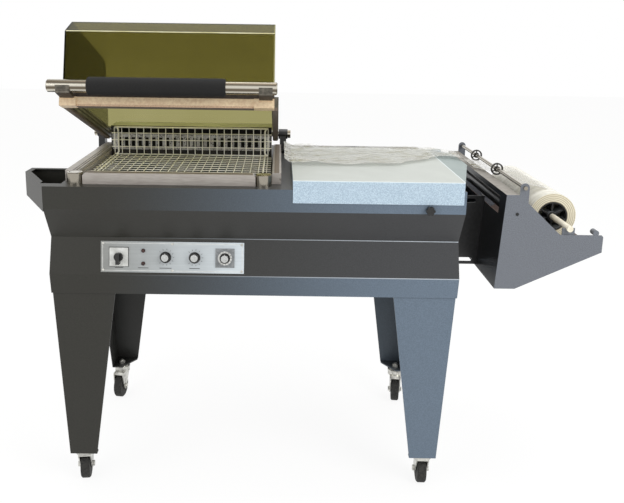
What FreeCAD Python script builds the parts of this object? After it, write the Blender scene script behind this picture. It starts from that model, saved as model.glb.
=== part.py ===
import FreeCAD, Part
import math
import os

# L-bar sealer with a shrink hood: a sheet-metal body on four tapered legs with casters,
# a hinged clear hood that carries the upper seal jaws, a film table and a film unwinder.
# Millimetres, +Z up, +X to the unwinder end, -Y to the operator.
# While it is built, X = 0 is the outer face of the left legs, Y = 0 the face of the front
# legs and Z = 0 the floor.  The last lines move the origin to the middle of the base.

Vec = FreeCAD.Vector
X_AXIS = Vec(1, 0, 0)
Y_AXIS = Vec(0, 1, 0)
Z_AXIS = Vec(0, 0, 1)

# ---------------------------------------------------------------- driving sizes
# frame and legs
length = 1006.0            # over the outer faces of the legs
depth = 600.0              # over the front and back faces of the legs
sheet = 2.5                # body sheet metal
leg_height = 442.0         # from the foot plate to the body
leg_top_width = 155.0      # front face of a leg at the top
leg_foot_width = 70.0      # the same at the foot
leg_lean = 24.0            # how far the outer edge comes in towards the foot
leg_side_top = 150.0       # side face of a leg at the top
leg_side_foot = 78.0       # the same at the foot
leg_sheet = 3.0
leg_cap = 3.0              # flange on top of the leg, under the body
foot_plate = 4.0           # gusset that closes the foot and takes the caster
foot_lip = 15.0            # straight ends of the gusset, beside its slanting free edge
foot_lap = 30.0

# casters
wheel_diameter = 75.0
wheel_width = 24.0
caster_height = 105.0      # floor to the underside of the leg's foot
caster_trail = 18.0        # wheel axle behind the swivel axis
caster_cap_diameter = 50.0
caster_cap_height = 9.0
caster_nut = 17.0          # across the flats
caster_nut_height = 8.0
king_pin_diameter = 10.0
axle_diameter = 8.0
fork_sheet = 3.0
axle_nut = 13.0            # across the flats
axle_nut_height = 5.0
hub_standout = 1.0         # wheel hub beyond the tread
hub_diameter = 26.0
tread_chamfer = 3.0
caster_inset_x = 50.0      # swivel axis from the outer face of the legs
caster_inset_y = 47.0      # swivel axis from the front or back face of the legs
brake_width = 22.0
brake_barrel = 8.0
brake_pin = 4.0
brake_pivot_out = 18.0     # pin behind the wheel axle
brake_pivot_up = 44.5      # pin above the wheel axle
brake_travel = 12.0        # degrees the brake lever turns down onto the tread
running = 0.05             # radial clearance of every running fit
gap = 0.3                  # air between parts that move past each other

# body, as heights above its underside
skirt_height = 50.0        # lower band, above which the panel band starts
waist_height = 142.0       # fold line above the panel band
band_height = 225.0        # underside of the upright rim band
body_height = 280.0        # the deck
rim_overhang = 45.0        # rim band in front of the legs
waist_setback = 10.0       # fold line behind the face of the legs
bulge = 5.0                # panel band's lower edge outside the legs
skirt_tuck = 3.0           # skirt's lower edge outside the legs
pan_flange = 15.0
rim_flange = 36.0          # front flange of the deck, beside the side gutter

# side gutter at the left end
gutter_reach = 96.0        # how far it stands out
gutter_front_length = 180.0   # depth of its slanting front wall
gutter_side_length = 55.0     # depth of its straight side wall
gutter_depth = 62.0        # below the deck
gutter_lip = 14.0
gutter_inner = 36.0        # where its floor ends inside the body

# lower seal frame, on the deck
frame_left = 40.0          # outer face of the left arm
frame_right = 566.0        # outer face of the right jaw
frame_back = 478.0
jaw_height = 27.5          # deck to the top of the jaws
jaw_width = 22.0
front_jaw_face = -12.0     # operator's face of the front jaw
front_jaw_depth = 26.0
jaw_corner = 6.0           # cut corners of the front jaw
left_arm_width = 38.0
band_width = 12.0          # heating band and its tape, on top of the jaws
band_thickness = 0.5
magnet_diameter = 39.0
magnet_y = -2.0            # centre line of the two magnet posts
magnet_left = 68.5
magnet_right = 524.0
magnet_chamfer = 1.5

# chamber and tray
tub_left = 85.0
tub_right = 537.0
tub_front = 22.0
tub_back = 364.0
tub_depth = 130.0          # below the deck
tub_sheet = 1.5
tub_flange = 4.0
tray_left = 80.0
tray_right = 540.0
tray_front = 20.0
tray_back = 366.0
tray_lift = 8.5            # underside of the tray above the deck
tray_rim = 5.0             # border rod
tray_wire = 2.5
tray_pitch = 20.8          # long wires
tray_cross_pitch = 28.6    # wires across the flat
tray_upright = 83.0        # border of the upright back above the tray's underside
tray_upright_rows = 3      # wires across the upright back
tray_corner = 4.0

# hot-air duct behind the tray
duct_left = 78.0
duct_right = 538.0
duct_front = 374.0
duct_back = 462.0
duct_height = 92.0
duct_sheet = 2.0
duct_slot_height = 14.0
duct_slot_top = 4.0        # metal above the slot
screen_height = 44.0
screen_rise = 24.0         # lower edge of the screen above the deck
screen_sheet = 1.5
screen_slots = 22

# heater and fan under the tray
heater_diameter = 8.0
heater_bend = 30.0         # radius of the hairpins
heater_rise = 42.0         # above the floor of the tub
heater_reach = 330.0
fan_x = 311.0
fan_y = 190.0
fan_diameter = 150.0
fan_blades = 8
fan_blade_height = 22.0
fan_shaft_diameter = 10.0
motor_diameter = 84.0
motor_length = 78.0
motor_plate_length = 110.0
motor_plate_width = 60.0

# hood, drawn shut
hood_open_angle = 17.4     # the hood rests open by this angle
hinge_y = 510.0
hinge_rise = 55.0          # hinge axis above the deck
hinge_pin_diameter = 16.0
hood_left = 37.0           # outer face of the left hood arm
hood_right = 557.0         # outer face of the right hood arm
upper_jaw_right = 547.0    # right end of the upper front jaw
hood_arm_width = 16.5
pad_gap = 0.3              # between the pads and the lower jaws when shut
side_pad = 7.7             # thickness of the pads under the arms
front_pad = 4.8            # thickness of the pad under the front jaw
hood_bar_top = 34.0        # top of the hood arms and front jaw above the lower jaws
upper_jaw_face = -11.0
upper_jaw_depth = 25.0
upper_jaw_ledge = 11.2     # height of the strip that is set back on top of the front jaw
upper_jaw_setback = 7.0
end_block_right = 498.6    # inner end of the right end block
end_block_left = 76.7      # inner end of the left end block
end_block_forward = 5.0    # in front of the jaw
shell_sheet = 3.0
shell_left = 40.0
shell_right = 547.0
shell_front = 1.0
shell_wall = 152.4         # upright front wall
shell_slope_length = 60.0     # slanting facet above the front wall
shell_slope_rise = 40.5
shell_air = 32.0           # from the duct to the lower end of the back wall
shell_back_length = 64.0      # the back wall leans out by this much
shell_back_drop = 168.0

# handle
handle_diameter = 30.0
handle_left = 22.0
handle_right = 550.0
handle_forward = 50.7      # tube axis in front of the legs' face, hood shut
handle_rise = 39.6         # tube axis above the lower jaws, hood shut
handle_wall = 1.5
grip_diameter = 43.0
grip_left = 112.0
grip_right = 434.0
bracket_width = 32.0
bracket_sheet = 5.0
cap_thickness = 4.0

# hinge brackets
bracket_bearing = 30.0     # outer diameter round the hinge pin
hinge_bracket_width = 27.0
hinge_left = 9.0
hinge_right = 558.0
hinge_foot = 56.0
hinge_foot_thickness = 8.0
hinge_cap_length = 9.0
hinge_cap_diameter = 24.0

# control panel on the panel band
panel_left = 123.0
panel_width = 354.0
panel_height = 77.0
panel_sheet = 2.0
panel_low = 7.0            # lower edge above the band's lower fold, along the slope
switch_inset = 45.0        # switch from the left end of the panel
switch_side = 48.0
switch_plate = 3.0
switch_grip_diameter = 22.0
switch_grip_length = 34.0
lamp_x = 228.0
lamp_diameter = 10.0
lamp_offset = 16.0
lamp_height = 4.0
knob_1_x = 283.0
knob_2_x = 355.0
knob_diameter = 28.0
knob_height = 15.0
knob_skirt = 3.0
timer_inset = 47.0         # timer from the right end of the panel
timer_side = 47.0
timer_ring = 40.0
timer_knob_diameter = 26.0

# film table
table_left = 594.0
table_end_gap = 6.0         # right edge of the table inside the legs' outer face
table_back = 460.0
table_rise = 23.0          # top above the deck
table_sheet = 2.0
apron_drop = 55.0          # height of the front apron
wing_reach = 78.0          # sloping wing at the right end
wing_drop = 13.0
wing_length = 316.0           # depth over which the wing widens
post_inset = 16.0          # guide post at the back corner of the wing, from the table's right edge
post_width = 25.0
post_depth = 12.0
post_top = 52.0            # above the table
clamp_inset = 80.0         # clamp from the table's right edge
clamp_diameter = 22.0
clamp_length = 14.0
clamp_drop = 45.0          # screw axis below the deck
film_thickness = 1.2
film_front = 150.0
film_back = 446.0
film_left = 574.0

# unwinder
side_front = -20.0         # outer face of the front side plate
side_depth = 664.0         # over both side plates
side_sheet = 2.5
unwinder_low = 583.0       # underside, above the floor
unwinder_top = 819.0
unwinder_clear = 88.0      # lower left corner of the side plates from the legs' outer face
unwinder_lean = 14.0       # the left wall leans out by this much towards the top
unwinder_top_width = 32.0
unwinder_foot = 50.0       # flat underside
dip_width = 150.0          # from that corner to where the slanting edge meets the level one
dip_z = 722.0
tip_width = 255.0          # from that corner to the tip
tip_drop = 43.0
wrap_sheet = 2.0
window_front = 32.0
window_length = 560.0
window_low = 57.0          # below the top
window_high = 13.0
rod_width = 56.0           # rod, idler, roll and peg from that corner
rod_z = 837.0
rod_diameter = 10.0
rod_ear = 22.0             # width of the ears that hold the rod
ear_front_depth = 22.0     # how far the ears run down the side plates
ear_back_depth = 42.0
wheel_ring_diameter = 33.0
wheel_ring_wall = 4.0
wheel_ring_width = 5.0
wheel_hub_diameter = 16.0
wheel_front_y = 230.0
wheel_back_y = 455.0
idler_width = 42.0
idler_z = 772.0
idler_diameter = 30.0
idler_wall = 2.0
idler_pin_diameter = 8.0
roll_width = 170.5
roll_rise = 16.5           # roll axis above the level edge of the side plates
seat_width = 30.0          # tab inside each side plate that the shaft lies in
seat_depth = 26.0
seat_sheet = 4.0
shaft_diameter = 15.0
roll_diameter = 120.0
roll_start = 100.0
roll_length = 400.0
core_bore = 77.0
cone_depth = 40.0
cone_wall = 4.0
peg_width = 237.0
peg_diameter = 14.0
peg_length = 22.0
strut_front = 165.0        # front face of the first mounting bracket
strut_pitch = 285.0
strut_sheet = 4.0
strut_low = 578.0
strut_high = 776.0
strut_flange = 25.0
strut_slot_length = 40.0
strut_slot_height = 11.0
strut_slot_inset = 13.0    # slot centre from the bracket's end

# ---------------------------------------------------------------- derived levels
foot_z = caster_height
body_z = foot_z + leg_height + leg_cap
skirt_z = body_z + skirt_height
waist_z = body_z + waist_height
band_z = body_z + band_height
deck_z = body_z + body_height
jaw_top = deck_z + jaw_height + band_thickness
hinge_z = deck_z + hinge_rise
pad_z = jaw_top + pad_gap
bar_top = jaw_top + hood_bar_top

# ---------------------------------------------------------------- places along the machine
table_right = length - table_end_gap
post_left = table_right + post_inset
clamp_x = table_right - clamp_inset
unwinder_x = length + unwinder_clear
dip_x = unwinder_x + dip_width
tip_x = unwinder_x + tip_width
rod_x = unwinder_x + rod_width
idler_x = unwinder_x + idler_width
roll_x = unwinder_x + roll_width
peg_x = unwinder_x + peg_width


# ---------------------------------------------------------------- shape helpers
def box(x0, x1, y0, y1, z0, z1):
    return Part.makeBox(x1 - x0, y1 - y0, z1 - z0, Vec(x0, y0, z0))


def rod(radius, start, end):
    path = end - start
    return Part.makeCylinder(radius, path.Length, start, path)


def face_of(points):
    return Part.Face(Part.makePolygon([Vec(*p) for p in points + points[:1]]))


def prism_x(points, x0, x1):
    """Outline of (y, z) points, extruded along X."""
    return face_of([(x0, y, z) for y, z in points]).extrude(Vec(x1 - x0, 0, 0))


def prism_y(points, y0, y1):
    """Outline of (x, z) points, extruded along Y."""
    return face_of([(x, y0, z) for x, z in points]).extrude(Vec(0, y1 - y0, 0))


def prism_z(points, z0, z1):
    """Outline of (x, y) points, extruded along Z."""
    return face_of([(x, y, z0) for x, y in points]).extrude(Vec(0, 0, z1 - z0))


def strip(points, thickness):
    """Closed outline of a bent sheet: an open run of points and its offset to the left."""
    offset = []
    for i, point in enumerate(points):
        before = points[max(i - 1, 0)]
        after = points[min(i + 1, len(points) - 1)]
        here = Vec(point[0], point[1], 0)
        d_in = here - Vec(before[0], before[1], 0)
        d_out = Vec(after[0], after[1], 0) - here
        d_in = d_out if d_in.Length == 0 else d_in
        d_out = d_in if d_out.Length == 0 else d_out
        d_in.normalize()
        d_out.normalize()
        n_in = Vec(-d_in.y, d_in.x, 0)
        n_out = Vec(-d_out.y, d_out.x, 0)
        mid = n_in + n_out
        mid = mid * (thickness / mid.dot(n_in))
        offset.append((here.x + mid.x, here.y + mid.y))
    return points + offset[::-1]


def loft(levels):
    """Solid through level rectangles given as (z, x0, x1, y0, y1)."""
    wires = []
    for z, x0, x1, y0, y1 in levels:
        corners = [(x0, y0, z), (x1, y0, z), (x1, y1, z), (x0, y1, z)]
        wires.append(Part.makePolygon([Vec(*p) for p in corners + corners[:1]]))
    return Part.makeLoft(wires, True, True)


def joined(shapes):
    solid = shapes[0].fuse(shapes[1:]) if len(shapes) > 1 else shapes[0]
    return solid.removeSplitter()


def group(shapes):
    return Part.makeCompound(shapes)


def turned(shape, centre, axis, degrees):
    copy = shape.copy()
    copy.rotate(centre, axis, degrees)
    return copy


def moved(shape, x, y, z):
    copy = shape.copy()
    copy.translate(Vec(x, y, z))
    return copy


parts = {}

# ---------------------------------------------------------------- body shell
# One folded and welded hull: skirt, leaning panel band, flared top, upright rim band, deck.


def hull(inset, z_low, z_high):
    def ring(z, x_out, y_out):
        return (z, inset - x_out, length + x_out - inset, inset - y_out, depth + y_out - inset)
    return [ring(z_low, skirt_tuck, skirt_tuck), ring(skirt_z, bulge, bulge),
            ring(waist_z, 0, -waist_setback), ring(band_z, 0, rim_overhang),
            ring(z_high, 0, rim_overhang)]


gutter_front_y = -rim_overhang
gutter_turn_y = gutter_front_y + gutter_front_length
gutter_back_y = gutter_turn_y + gutter_side_length
gutter_floor = deck_z - gutter_depth
trough_front_y = gutter_front_y + rim_flange

shell = loft(hull(0, body_z, deck_z)).cut(loft(hull(sheet, body_z, deck_z - sheet)))
# the left end is open to the gutter, and the deck is cut out over the trough and the tub
shell = shell.cut(box(-sheet, gutter_inner, trough_front_y, gutter_back_y, gutter_floor, deck_z + 1))
shell = shell.cut(box(tub_left - gap, tub_right + gap, tub_front - gap, tub_back + gap,
                      deck_z - 2 * sheet, deck_z + 1))
duct_hole_inset = 20.0
shell = shell.cut(box(duct_left + duct_hole_inset, duct_right - duct_hole_inset,
                      duct_front + duct_hole_inset, duct_back - duct_hole_inset,
                      deck_z - 2 * sheet, deck_z + 1))

# ---------------------------------------------------------------- rear cover
# Louvred service cover screwed to the panel band at the back, with the cable gland.
slope_run = waist_setback + bulge
slope_rise = waist_height - skirt_height
slope_length = math.hypot(slope_run, slope_rise)
slope_angle = math.degrees(math.atan2(slope_run, slope_rise))
cover_width = 620.0
cover_height = 78.0
louvres = 12
louvre_pitch = 36.0
louvre_width = 24.0
louvre_height = 6.0
gland_diameter = 18.0
gland_length = 14.0
gland_bore = 7.0
cover_low = (slope_length - cover_height) / 2
cover_x = (length - cover_width) / 2
cover = box(cover_x, cover_x + cover_width, 0, sheet, cover_low, cover_low + cover_height)
for i in range(louvres):
    left = cover_x + louvre_pitch * (i + 1.5)
    for row in (0.3, 0.6):
        low = cover_low + cover_height * row
        cover = cover.cut(box(left, left + louvre_width, -1, sheet + 1, low, low + louvre_height))
gland_x = cover_x + cover_width - louvre_pitch
gland_z = cover_low + cover_height / 2
gland = rod(gland_diameter / 2, Vec(gland_x, 0, gland_z), Vec(gland_x, sheet + gland_length, gland_z))
cover = cover.fuse(gland).cut(rod(gland_bore / 2, Vec(gland_x, -1, gland_z),
                                  Vec(gland_x, sheet + gland_length + 1, gland_z)))
cover = turned(cover, Vec(0, 0, 0), X_AXIS, slope_angle)
parts["rear_cover"] = moved(cover, 0, depth + bulge, skirt_z)

# ---------------------------------------------------------------- side gutter
# Trough that sticks out at the left end, where the trimmed film falls.
gutter_outline = [(0, gutter_front_y), (-gutter_reach, gutter_turn_y),
                  (-gutter_reach, gutter_back_y), (0, gutter_back_y)]


def gutter_solid(inset, z0, z1):
    wall = face_of([(x, y, z0) for x, y in gutter_outline])
    if inset:
        wall = wall.makeOffset2D(-inset)
    return wall.extrude(Vec(0, 0, z1 - z0))


gutter = gutter_solid(0, gutter_floor, deck_z)
gutter = gutter.cut(gutter_solid(sheet, gutter_floor + sheet, deck_z - sheet))
gutter = gutter.cut(gutter_solid(gutter_lip, deck_z - 2 * sheet, deck_z + 1))
# the side towards the body is open behind the front flange
gutter = gutter.cut(box(-sheet - 1, 1, trough_front_y, gutter_back_y - sheet,
                        gutter_floor + sheet, deck_z - sheet))
gutter = gutter.cut(box(-gutter_lip - 1, 1, trough_front_y, gutter_back_y - gutter_lip,
                        deck_z - 2 * sheet, deck_z + 1))
trough_floor = box(0, gutter_inner, trough_front_y, gutter_back_y, gutter_floor, gutter_floor + sheet)
trough_front = box(-sheet, gutter_inner, trough_front_y, trough_front_y + sheet, gutter_floor, deck_z - sheet)
trough_side = box(gutter_inner - sheet, gutter_inner, trough_front_y, gutter_back_y,
                  gutter_floor, deck_z - sheet)
trough_back = box(0, gutter_inner, gutter_back_y - sheet, gutter_back_y, gutter_floor, deck_z - sheet)
parts["side_gutter"] = joined([gutter, trough_floor, trough_front, trough_side, trough_back])

# ---------------------------------------------------------------- base pan
# Shallow folded pan that closes the underside and takes the leg flanges.
pan_out = skirt_tuck - sheet
pan = box(-pan_out, length + pan_out, -pan_out, depth + pan_out, body_z, body_z + pan_flange)
pan = pan.cut(box(sheet - pan_out, length + pan_out - sheet, sheet - pan_out, depth + pan_out - sheet,
                  body_z + sheet, body_z + pan_flange + 1))
parts["base_pan"] = pan

# ---------------------------------------------------------------- legs
# Each leg is one tapered sheet folded to an angle, with a flange on top and a foot plate.


def leg():
    top = foot_z + leg_height
    foot_far = leg_lean + leg_foot_width
    front = prism_y([(0, top), (leg_top_width, top), (foot_far, foot_z), (leg_lean, foot_z)], 0, leg_sheet)
    side = face_of([(0, 0, top), (0, leg_side_top, top), (leg_lean, leg_side_foot, foot_z),
                    (leg_lean, 0, foot_z)]).extrude(Vec(leg_sheet, 0, 0))
    cap = prism_z([(0, 0), (leg_top_width, 0), (leg_top_width, leg_sheet * 8),
                   (leg_sheet * 8, leg_side_top), (0, leg_side_top)], top, top + leg_cap)
    foot = prism_z([(leg_lean, 0), (foot_far, 0), (foot_far, foot_lip), (leg_lean + foot_lap, leg_side_foot),
                    (leg_lean, leg_side_foot)], foot_z, foot_z + foot_plate)
    foot = foot.cut(rod(king_pin_diameter / 2 + running, Vec(caster_inset_x, caster_inset_y, foot_z - 1),
                        Vec(caster_inset_x, caster_inset_y, foot_z + foot_plate + 1)))
    return joined([front, side, cap, foot])


def to_corner(shape, right, back):
    """Copy a piece drawn for the front left corner to another corner."""
    copy = shape
    if right:
        copy = copy.mirror(Vec(length / 2, 0, 0), X_AXIS)
    if back:
        copy = copy.mirror(Vec(0, depth / 2, 0), Y_AXIS)
    return copy


corners = {"front_left": (0, 0), "front_right": (1, 0), "back_left": (0, 1), "back_right": (1, 1)}
for name, (right, back) in corners.items():
    parts["leg_" + name] = to_corner(leg(), right, back)

# ---------------------------------------------------------------- casters
# Stem bolted through the foot, swivel cap, fork with axle, wheel and, in front, a brake.
swivel_radius = caster_cap_diameter / 2
king_pin_length = 17.0
fork_top = caster_height - caster_cap_height - gap
crown_height = 12.0
wheel_radius = wheel_diameter / 2
fork_reach = 13.0          # cheek round the axle
cheek_gap = 2.0            # wheel to cheek
caster_angles = {"front_left": 96, "front_right": 88, "back_left": -99, "back_right": -96}


def caster_spot(name):
    right, back = corners[name]
    x = length - caster_inset_x if right else caster_inset_x
    y = depth - caster_inset_y if back else caster_inset_y
    return x, y


def wheel_axis(name):
    """Centre of the wheel and the direction of its axle for a caster at rest."""
    x, y = caster_spot(name)
    turn = math.radians(caster_angles[name])
    centre = Vec(x + caster_trail * math.cos(turn), y + caster_trail * math.sin(turn), wheel_radius)
    return centre, Vec(-math.sin(turn), math.cos(turn), 0)


def place_caster(shape, name):
    """A caster is drawn at the origin, trailing along +X, then turned and moved to its leg."""
    x, y = caster_spot(name)
    return moved(turned(shape, Vec(0, 0, 0), Z_AXIS, caster_angles[name]), x, y, 0)


def hexagon(across, x, z):
    """Corners of a bolt head or nut, for an outline in XZ."""
    radius = across / math.sqrt(3)
    return [(x + radius * math.cos(math.radians(60 * i)), z + radius * math.sin(math.radians(60 * i)))
            for i in range(6)]


def caster_head():
    low = caster_height - caster_cap_height
    step = caster_height - caster_cap_height * 0.4
    race = rod(swivel_radius, Vec(0, 0, low), Vec(0, 0, step))
    crown = rod(swivel_radius * 0.78, Vec(0, 0, step), Vec(0, 0, caster_height))
    above = caster_height + foot_plate
    pin_top = above + caster_nut_height + 3
    pin = rod(king_pin_diameter / 2, Vec(0, 0, low - king_pin_length), Vec(0, 0, pin_top))
    nut = prism_z(hexagon(caster_nut, 0, 0), above, above + caster_nut_height)
    return joined([race, crown, pin, nut])


brake_x = caster_trail + brake_pivot_out
brake_z = wheel_radius + brake_pivot_up


def caster_fork(braked):
    half = wheel_width / 2 + cheek_gap
    out = half + fork_sheet
    neck = swivel_radius * 0.6
    bridge_low = wheel_diameter + cheek_gap
    crown = rod(swivel_radius - 1, Vec(0, 0, fork_top - crown_height), Vec(0, 0, fork_top))
    bridge = box(-neck, caster_trail + fork_reach, -out, out, bridge_low, fork_top - crown_height + fork_sheet)
    ear = brake_barrel / 2 + 1
    outline = [(-neck, fork_top - crown_height), (brake_x, brake_z + ear), (brake_x + ear, brake_z),
               (caster_trail + fork_reach, wheel_radius), (caster_trail, wheel_radius - fork_reach),
               (caster_trail - fork_reach, wheel_radius), (-neck, bridge_low)]
    cheeks = [prism_y(outline, half, out), prism_y(outline, -out, -half)]
    axle = rod(axle_diameter / 2, Vec(caster_trail, -half, wheel_radius),
               Vec(caster_trail, half, wheel_radius))
    heads = [prism_y(hexagon(axle_nut, caster_trail, wheel_radius), y, y + axle_nut_height)
             for y in (out, -out - axle_nut_height)]
    pin = [rod(brake_pin / 2, Vec(brake_x, -half, brake_z), Vec(brake_x, half, brake_z))] if braked else []
    body = joined([crown, bridge] + cheeks + [axle] + heads + pin)
    return body.cut(rod(king_pin_diameter / 2 + running, Vec(0, 0, bridge_low - 9),
                        Vec(0, 0, fork_top + 1)))


def caster_wheel():
    half = wheel_width / 2
    hub = half + hub_standout
    bore = axle_diameter / 2 + running
    rim = wheel_radius - tread_chamfer
    boss = hub_diameter / 2
    profile = [(bore, -hub), (boss, -hub), (boss, -half), (rim, -half), (wheel_radius, tread_chamfer - half),
               (wheel_radius, half - tread_chamfer), (rim, half), (boss, half), (boss, hub), (bore, hub)]
    half_plane = face_of([(caster_trail + r, y, wheel_radius) for r, y in profile])
    return half_plane.revolve(Vec(caster_trail, 0, wheel_radius), Y_AXIS, 360)


def caster_brake():
    """Barrel on the fork's pin, a pedal outwards and a shoe that comes down on the tread."""
    half = brake_width / 2
    x, z = brake_x, brake_z
    pedal = prism_y(strip([(x, z), (x + 10, z), (x + 26, z - 13), (x + 35, z - 11)], 3.0), -half, half)
    shoe = prism_y([(x - 2, z - 2), (x + 3, z), (x + 11, z - 12), (x + 9, z - 13)], -half, half)
    barrel = rod(brake_barrel / 2, Vec(x, -half, z), Vec(x, half, z))
    bore = rod(brake_pin / 2 + running, Vec(x, -half - 1, z), Vec(x, half + 1, z))
    return joined([pedal, shoe, barrel]).cut(bore)


parts["caster_heads"] = group([moved(caster_head(), *caster_spot(n), 0) for n in corners])
for name in corners:
    parts["caster_fork_" + name] = place_caster(caster_fork("front" in name), name)
    parts["caster_wheel_" + name] = place_caster(caster_wheel(), name)
for name in ("front_left", "front_right"):
    parts["caster_brake_" + name] = place_caster(caster_brake(), name)

# ---------------------------------------------------------------- control panel
# Drawn upright with its face towards -Y at Y = 0, then laid on the leaning panel band.


def on_band(shape):
    tilted = turned(shape, Vec(0, 0, 0), X_AXIS, -slope_angle)
    return moved(tilted, 0, -bulge, skirt_z)


def disc(x, z, diameter, y0, y1):
    return rod(diameter / 2, Vec(x, y0, z), Vec(x, y1, z))


panel_mid = panel_low + panel_height / 2
switch_x = panel_left + switch_inset
timer_x = panel_left + panel_width - timer_inset
face = -panel_sheet
panel = box(panel_left, panel_left + panel_width, face, 0, panel_low, panel_low + panel_height)
half_switch = switch_side / 2
plate = box(switch_x - half_switch, switch_x + half_switch, face - switch_plate, face,
            panel_mid - half_switch, panel_mid + half_switch)
plate = plate.makeChamfer(1.0, [e for e in plate.Edges if abs(e.CenterOfMass.y - face + switch_plate) < 0.01])
stem = 8.0
switch_front = face - switch_plate
plate = plate.cut(disc(switch_x, panel_mid, stem + 2 * running, switch_front - 1, face))
parts["switch_plate"] = on_band(plate)

# cam switch handle: a round boss with a straight finger grip across it
grip_half = switch_grip_length / 2
handle = disc(switch_x, panel_mid, switch_grip_diameter, switch_front - gap - 8, switch_front - gap)
handle = handle.fuse(disc(switch_x, panel_mid, stem, switch_front - gap, face - gap))
finger = box(switch_x - 4.5, switch_x + 4.5, switch_front - gap - 20, switch_front - gap - 2,
             panel_mid - grip_half, panel_mid + grip_half - 6)
parts["switch_handle"] = on_band(handle.fuse(finger))

lamps = []
for side in (-1, 1):
    lens_z = panel_mid + side * lamp_offset
    ring = disc(lamp_x, lens_z, lamp_diameter, face - lamp_height / 2, face)
    lamps.append(ring.fuse(disc(lamp_x, lens_z, lamp_diameter * 0.7, face - lamp_height, face)))
parts["indicator_lamps"] = on_band(group(lamps))


def knob(x, diameter, base):
    """Knob with a skirt, on a stem."""
    low = base - gap
    skirt = disc(x, panel_mid, diameter, low - knob_skirt, low)
    grip = disc(x, panel_mid, diameter * 0.82, low - knob_height, low)
    return joined([skirt, grip, disc(x, panel_mid, stem, low, low + panel_sheet)])


parts["temperature_knob"] = on_band(knob(knob_1_x, knob_diameter, face))
parts["seal_time_knob"] = on_band(knob(knob_2_x, knob_diameter, face))

half_timer = timer_side / 2
bezel = box(timer_x - half_timer, timer_x + half_timer, face - 3, face,
            panel_mid - half_timer, panel_mid + half_timer)
bezel = bezel.fuse(disc(timer_x, panel_mid, timer_ring, face - 5, face))
bezel = bezel.cut(disc(timer_x, panel_mid, stem + 2 * running, face - 6, face))
parts["timer_bezel"] = on_band(bezel)
timer_face = face - 5
parts["timer_knob"] = on_band(knob(timer_x, timer_knob_diameter, timer_face))

# every turning stem has its own hole in the panel, and the panel band behind is cut out
for x in (switch_x, knob_1_x, knob_2_x, timer_x):
    panel = panel.cut(disc(x, panel_mid, stem + 2 * running, face - 1, 1))
parts["control_panel"] = on_band(panel)
parts["body_shell"] = shell

# ---------------------------------------------------------------- chamber tub
# A sheet folded round front, floor and back, with two end plates spot-welded between its walls.
flange_z = deck_z + tub_sheet
tub_floor = deck_z - tub_depth
floor_top = tub_floor + tub_sheet
tub_inner_front = tub_front + tub_sheet
tub_inner_back = tub_back - tub_sheet
tub_run = [(tub_front - tub_flange, flange_z), (tub_inner_front, flange_z), (tub_inner_front, floor_top),
           (tub_inner_back, floor_top), (tub_inner_back, flange_z), (tub_back + tub_flange, flange_z)]
tub_wrap = prism_x(strip(tub_run, -tub_sheet), tub_left, tub_right)
fan_hole = rod(fan_shaft_diameter, Vec(fan_x, fan_y, tub_floor - 1), Vec(fan_x, fan_y, floor_top + 1))
tub_wrap = tub_wrap.cut(fan_hole)
tab_width = 40.0
tray_low = deck_z + tray_lift


def tub_end(wall, lip):
    """Flanged end plate between the folded walls, with two tabs that guide the tray."""
    plate = box(wall, wall + tub_sheet, tub_inner_front, tub_inner_back, floor_top, flange_z)
    flange = box(min(wall, lip), max(wall, lip) + tub_sheet, tub_inner_front, tub_inner_back, deck_z, flange_z)
    tabs = [box(lip, lip + tub_sheet, y, y + tab_width, deck_z, tray_low)
            for y in (tub_front + tab_width, tub_back - 2 * tab_width)]
    return joined([plate, flange] + tabs)


parts["chamber_tub"] = group([tub_wrap, tub_end(tub_left, tub_left - tub_flange),
                              tub_end(tub_right - tub_sheet, tub_right + tub_flange - tub_sheet)])

# ---------------------------------------------------------------- hot-air duct and screen
duct_top = deck_z + duct_height
duct = box(duct_left, duct_right, duct_front, duct_back, deck_z, duct_top)
duct = duct.cut(box(duct_left + duct_sheet, duct_right - duct_sheet, duct_front + duct_sheet,
                    duct_back - duct_sheet, deck_z - 1, duct_top - duct_sheet))
slot_high = duct_top - duct_sheet - duct_slot_top
duct = duct.cut(box(duct_left + 6, duct_right - 6, duct_front - 1, duct_front + duct_sheet + 1,
                    slot_high - duct_slot_height, slot_high))
screen_z = deck_z + screen_rise
duct = duct.cut(box(duct_left + 12, duct_right - 12, duct_front - 1, duct_front + duct_sheet + 1,
                    screen_z + 6, screen_z + screen_height - 6))
parts["heater_duct"] = duct
screen = box(duct_left + 4, duct_right - 4, duct_front - screen_sheet, duct_front,
             screen_z, screen_z + screen_height)
screen_pitch = (duct_right - duct_left - 28) / screen_slots
for i in range(screen_slots):
    left = duct_left + 14 + screen_pitch * (i + 0.25)
    screen = screen.cut(box(left, left + screen_pitch / 2, duct_front - screen_sheet - 1, duct_front + 1,
                            screen_z + 9, screen_z + screen_height - 9))
parts["perforated_screen"] = screen

# ---------------------------------------------------------------- heater, fan and motor


def hairpin(y):
    """U-shaped tubular heater with both ends in the right wall of the tub."""
    z = tub_floor + heater_rise
    right = tub_right - tub_sheet
    left = right - heater_reach
    corner = heater_bend / math.cos(math.radians(22.5))
    path = [Vec(right, y - heater_bend, z)]
    for angle in (247.5, 202.5, 157.5, 112.5):
        bend = math.radians(angle)
        path.append(Vec(left + corner * math.cos(bend), y + corner * math.sin(bend), z))
    path.append(Vec(right, y + heater_bend, z))
    radius = heater_diameter / 2
    section = [Vec(right, path[0].y + radius * math.cos(math.radians(45 * i)),
                   z + radius * math.sin(math.radians(45 * i))) for i in range(8)]
    tube = Part.makePolygon(path).makePipeShell([Part.makePolygon(section + section[:1])], True, False, 1)
    return tube


heater_pitch = 150.0
parts["heater_elements"] = group([hairpin(fan_y - heater_pitch / 2), hairpin(fan_y + heater_pitch / 2)])

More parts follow.
